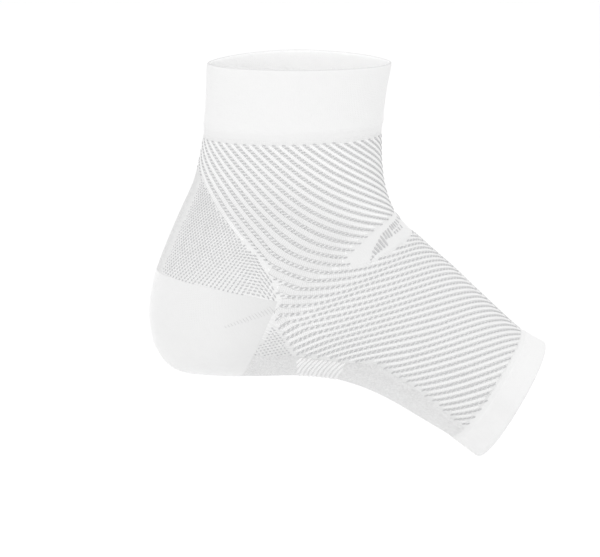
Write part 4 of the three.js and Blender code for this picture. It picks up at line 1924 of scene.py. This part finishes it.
@dataclass
class SoleZones:
    """The grey cloth under the foot, and the ribbed cloth under the arch between its two zones."""

    shop: Workshop
    grey: Cloth = Cloth(1.7, -0.05, "knit_grey")
    arch: Cloth = Cloth(1.7, -0.05, "knit_mesh")
    rib_pitch: float = 2.1
    rib_half_width: float = 0.72
    rib_flatness: float = 0.45
    rib_room: float = 0.3
    # How far the ribs bend forward for each square of their rise above the sole, and what rise counts as one
    rib_bend: float = 2.6
    bend_rise: float = 7.0
    # The places and turns between which the ribs are looked for, and how far past the arch they start and end
    arch_places: Pair = (8.5, 18.0)
    arch_turns: Pair = (0.28, 0.5)
    arch_margin: float = 6.0
    longest_step: float = 4.0
    fringe_pitch: float = 1.1
    fringe_length: float = 3.6
    fringe_size: Pair = (0.42, 0.24)
    # Stretches of the pad's upper edge that have a fringe, as shares of its length
    fringes: tuple[Pair, ...] = ((0.24, 0.5), (0.72, 0.95))

    def arch_ribs(self) -> Lines:
        """Lay out the fine upright ribs, which bend forward at the top and meet under the arch.

        Returns:
            the ribs.
        """
        shop, form, lines = self.shop, self.shop.form, Lines()
        places, turns = np.linspace(*self.arch_places, 280), -np.linspace(*self.arch_turns, 60)
        forward = form.point(places[:, None], turns[None, :])[..., 0].T

        def at(x: np.ndarray) -> np.ndarray:
            """Return the places at which the turns reach some distances forward of the ankle."""
            return np.array([np.interp(one, column, places) for one, column in zip(x, forward)])

        first, last = shop.plan.gusset[2][0] - self.arch_margin, shop.plan.arch_foot[0] + self.arch_margin
        for start in np.arange(first, last, self.rib_pitch):
            straight = np.full(len(turns), start)
            level = form.point(at(straight), turns)[:, 2]
            rise = np.clip((level - level[-1]) / self.bend_rise - 0.3, 0, 2)
            place = at(straight + self.rib_bend * rise**2)
            points, outward = form.proud(place, turns, self.arch.height), form.normal(place, turns)
            keep = shop.plan.room(points[:, (0, 2)], (Zone.ARCH,)) > self.rib_room
            for run in (run for run in runs_of(keep, points, self.longest_step) if len(run) >= 4):
                ends = (1.0, 0.0 if run[-1] == len(turns) - 1 else 1.0)
                half = tapered(points[run], np.full(len(run), self.rib_half_width), 1.0, ends)
                lines.add(points[run], outward[run], half)
        return lines

    def fringe(self) -> Strands:
        """Lay out the fine upright strands along parts of the pad's upper edge.

        Returns:
            the strands.
        """
        edge = np.array(self.shop.plan.pad_side)
        run = run_along(edge)
        spots: list[np.ndarray] = []
        for start, end in self.fringes:
            along = np.arange(start * run[-1], end * run[-1], self.fringe_pitch)
            spots.append(np.stack([np.interp(along, run, edge[:, k]) for k in (0, 1)], axis=1))
        side = np.concatenate(spots) - np.array([0.0, 0.45 * self.fringe_length])
        middles, outward = self.shop.on_cloth(side, self.grey.height)
        lays = unit(np.cross(outward, np.cross(UP, outward)))
        return Strands(middles, lays, outward, np.full(len(side), self.fringe_length))

    def build(self) -> None:
        """Build the three cloths, the arch's ribs and the fringe and hand them over."""
        shop, finishes = self.shop, self.shop.finishes
        shop.cloth.lay(Zone.HEEL_BAND, self.grey, finishes.grey)
        shop.cloth.lay(Zone.ARCH, self.arch, finishes.arch_ground)
        shop.cloth.lay(Zone.PAD, self.grey, finishes.grey)
        shop.sweep("arch_rib_ribs", "knit_mesh", self.arch_ribs(), self.rib_flatness, finishes.arch)
        shop.lay_strands("forefoot_pad_fringe", "knit_grey", self.fringe(), self.fringe_size, finishes.arch)


# Studio


@dataclass
class Studio:
    """The camera at the photograph's angle, a pale floor and soft light."""

    azimuth: float = -2.5
    elevation: float = 9.5
    pixels_per_mm: float = 2.04
    origin_pixel: Pair = (292.0, 266.0)
    frame_size: Pair = (600.0, 557.0)
    distance: float = 10000.0
    sensor: float = 36.0
    floor_drop: float = 90.0
    floor_half: float = 6000.0
    floor_grain: float = 25.0
    room_light: float = 0.98
    # Each lamp's place and width in metres, and its power in watts
    lamps: tuple[tuple[str, tuple[float, float, float], float, float], ...] = (
        ("key", (-1.1, -1.6, 1.7), 1.4, 6.0),
        ("overhead", (0.2, 0.3, 2.4), 2.4, 8.0),
        ("low_fill", (0.5, -2.2, -0.05), 1.2, 3.0),
    )

    def build(self, lowest: float) -> None:
        """Add the camera, the floor and the lights.

        Args:
            lowest: the height of the sleeve's lowest point, in metres.
        """
        self._camera()
        self._floor(lowest)
        self._light()

    def _camera(self) -> None:
        """Aim a very long lens so that the origin falls on its pixel."""
        turn, tilt = math.radians(self.azimuth), math.radians(self.elevation)
        right = Vector((math.cos(turn), math.sin(turn), 0))
        away = Vector((-math.sin(turn), math.cos(turn), 0))
        forward = away * math.cos(tilt) - Vector((0, 0, math.sin(tilt)))
        up = right.cross(forward)
        across = (self.frame_size[0] / 2 - self.origin_pixel[0]) / self.pixels_per_mm
        rise = -(self.frame_size[1] / 2 - self.origin_pixel[1]) / self.pixels_per_mm
        aim = (right * across + up * rise) * MM
        lens = bpy.data.cameras.new("camera")
        lens.sensor_width = self.sensor
        lens.lens = self.sensor * self.distance / (self.frame_size[0] / self.pixels_per_mm)
        lens.clip_start, lens.clip_end = 0.05, 50
        camera = bpy.data.objects.new("camera", lens)
        camera.location = aim - forward * self.distance * MM
        camera.rotation_euler = forward.to_track_quat("-Z", "Y").to_euler()
        bpy.context.collection.objects.link(camera)
        bpy.context.scene.camera = camera

    def _floor(self, lowest: float) -> None:
        """Lay a wide pale floor below the sleeve, which hangs over it as in the photograph.

        Args:
            lowest: the height of the sleeve's lowest point in metres.
        """
        height = lowest / MM - self.floor_drop
        corners = [(x, y, height) for x, y in ((-1, -1), (1, -1), (1, 1), (-1, 1))]
        floor = as_object("floor", np.array(corners) * (self.floor_half, self.floor_half, 1), [(0, 1, 2, 3)])
        paint = bpy.data.materials.new("matt_white_floor")
        paint.use_nodes = True
        paint.node_tree.nodes.clear()
        add = partial(add_node, paint.node_tree)
        here = add("ShaderNodeTexCoord", out="Object")
        cloud = add(NOISE, here, named={"Scale": 1 / (self.floor_grain * MM), "Detail": 2.0})
        colour = add(MIX, cloud, named={6: linear("#FAFAFA"), 7: linear("#FCFCFC")}, **OF_COLOURS)
        add("ShaderNodeOutputMaterial", add("ShaderNodeBsdfPrincipled", colour, named={"Roughness": 0.9}))
        floor.data.materials.append(paint)

    def _light(self) -> None:
        """Fill the room with white light, and add soft lamps above, in front and low down."""
        scene = bpy.context.scene
        scene.view_settings.view_transform = "Standard"
        scene.view_settings.look = "None"
        world = bpy.data.worlds.new("white_room")
        scene.world = world
        world.use_nodes = True
        sky = world.node_tree.nodes["Background"].inputs
        sky["Color"].default_value, sky["Strength"].default_value = (1, 1, 1, 1), self.room_light
        for name, place, size, power in self.lamps:
            lamp = bpy.data.lights.new(name, "AREA")
            lamp.shape, lamp.size, lamp.energy = "DISK", size, power
            held = bpy.data.objects.new(name, lamp)
            held.location = Vector(place)
            held.rotation_euler = (-held.location).to_track_quat("-Z", "Y").to_euler()
            bpy.context.collection.objects.link(held)


def main() -> None:
    """Build the studio and the sleeve, and report each piece."""
    logging.basicConfig(level=logging.INFO, format="%(message)s")
    Studio().build(CAD_BOX[0][2])
    shop = Workshop()
    for part in (
        cuff_band(shop),
        StripedWrap(shop, Zone.ANKLE),
        StripedWrap(shop, Zone.FOOT, float_size=(0.86, 0.5), float_room=0.7),
        FlexPatch(shop),
        HeelMesh(shop),
        HeelPocket(shop),
        Gussets(shop),
        SoleZones(shop),
        toe_end_band(shop),
    ):
        part.build()


if __name__ == "__main__":
    main()
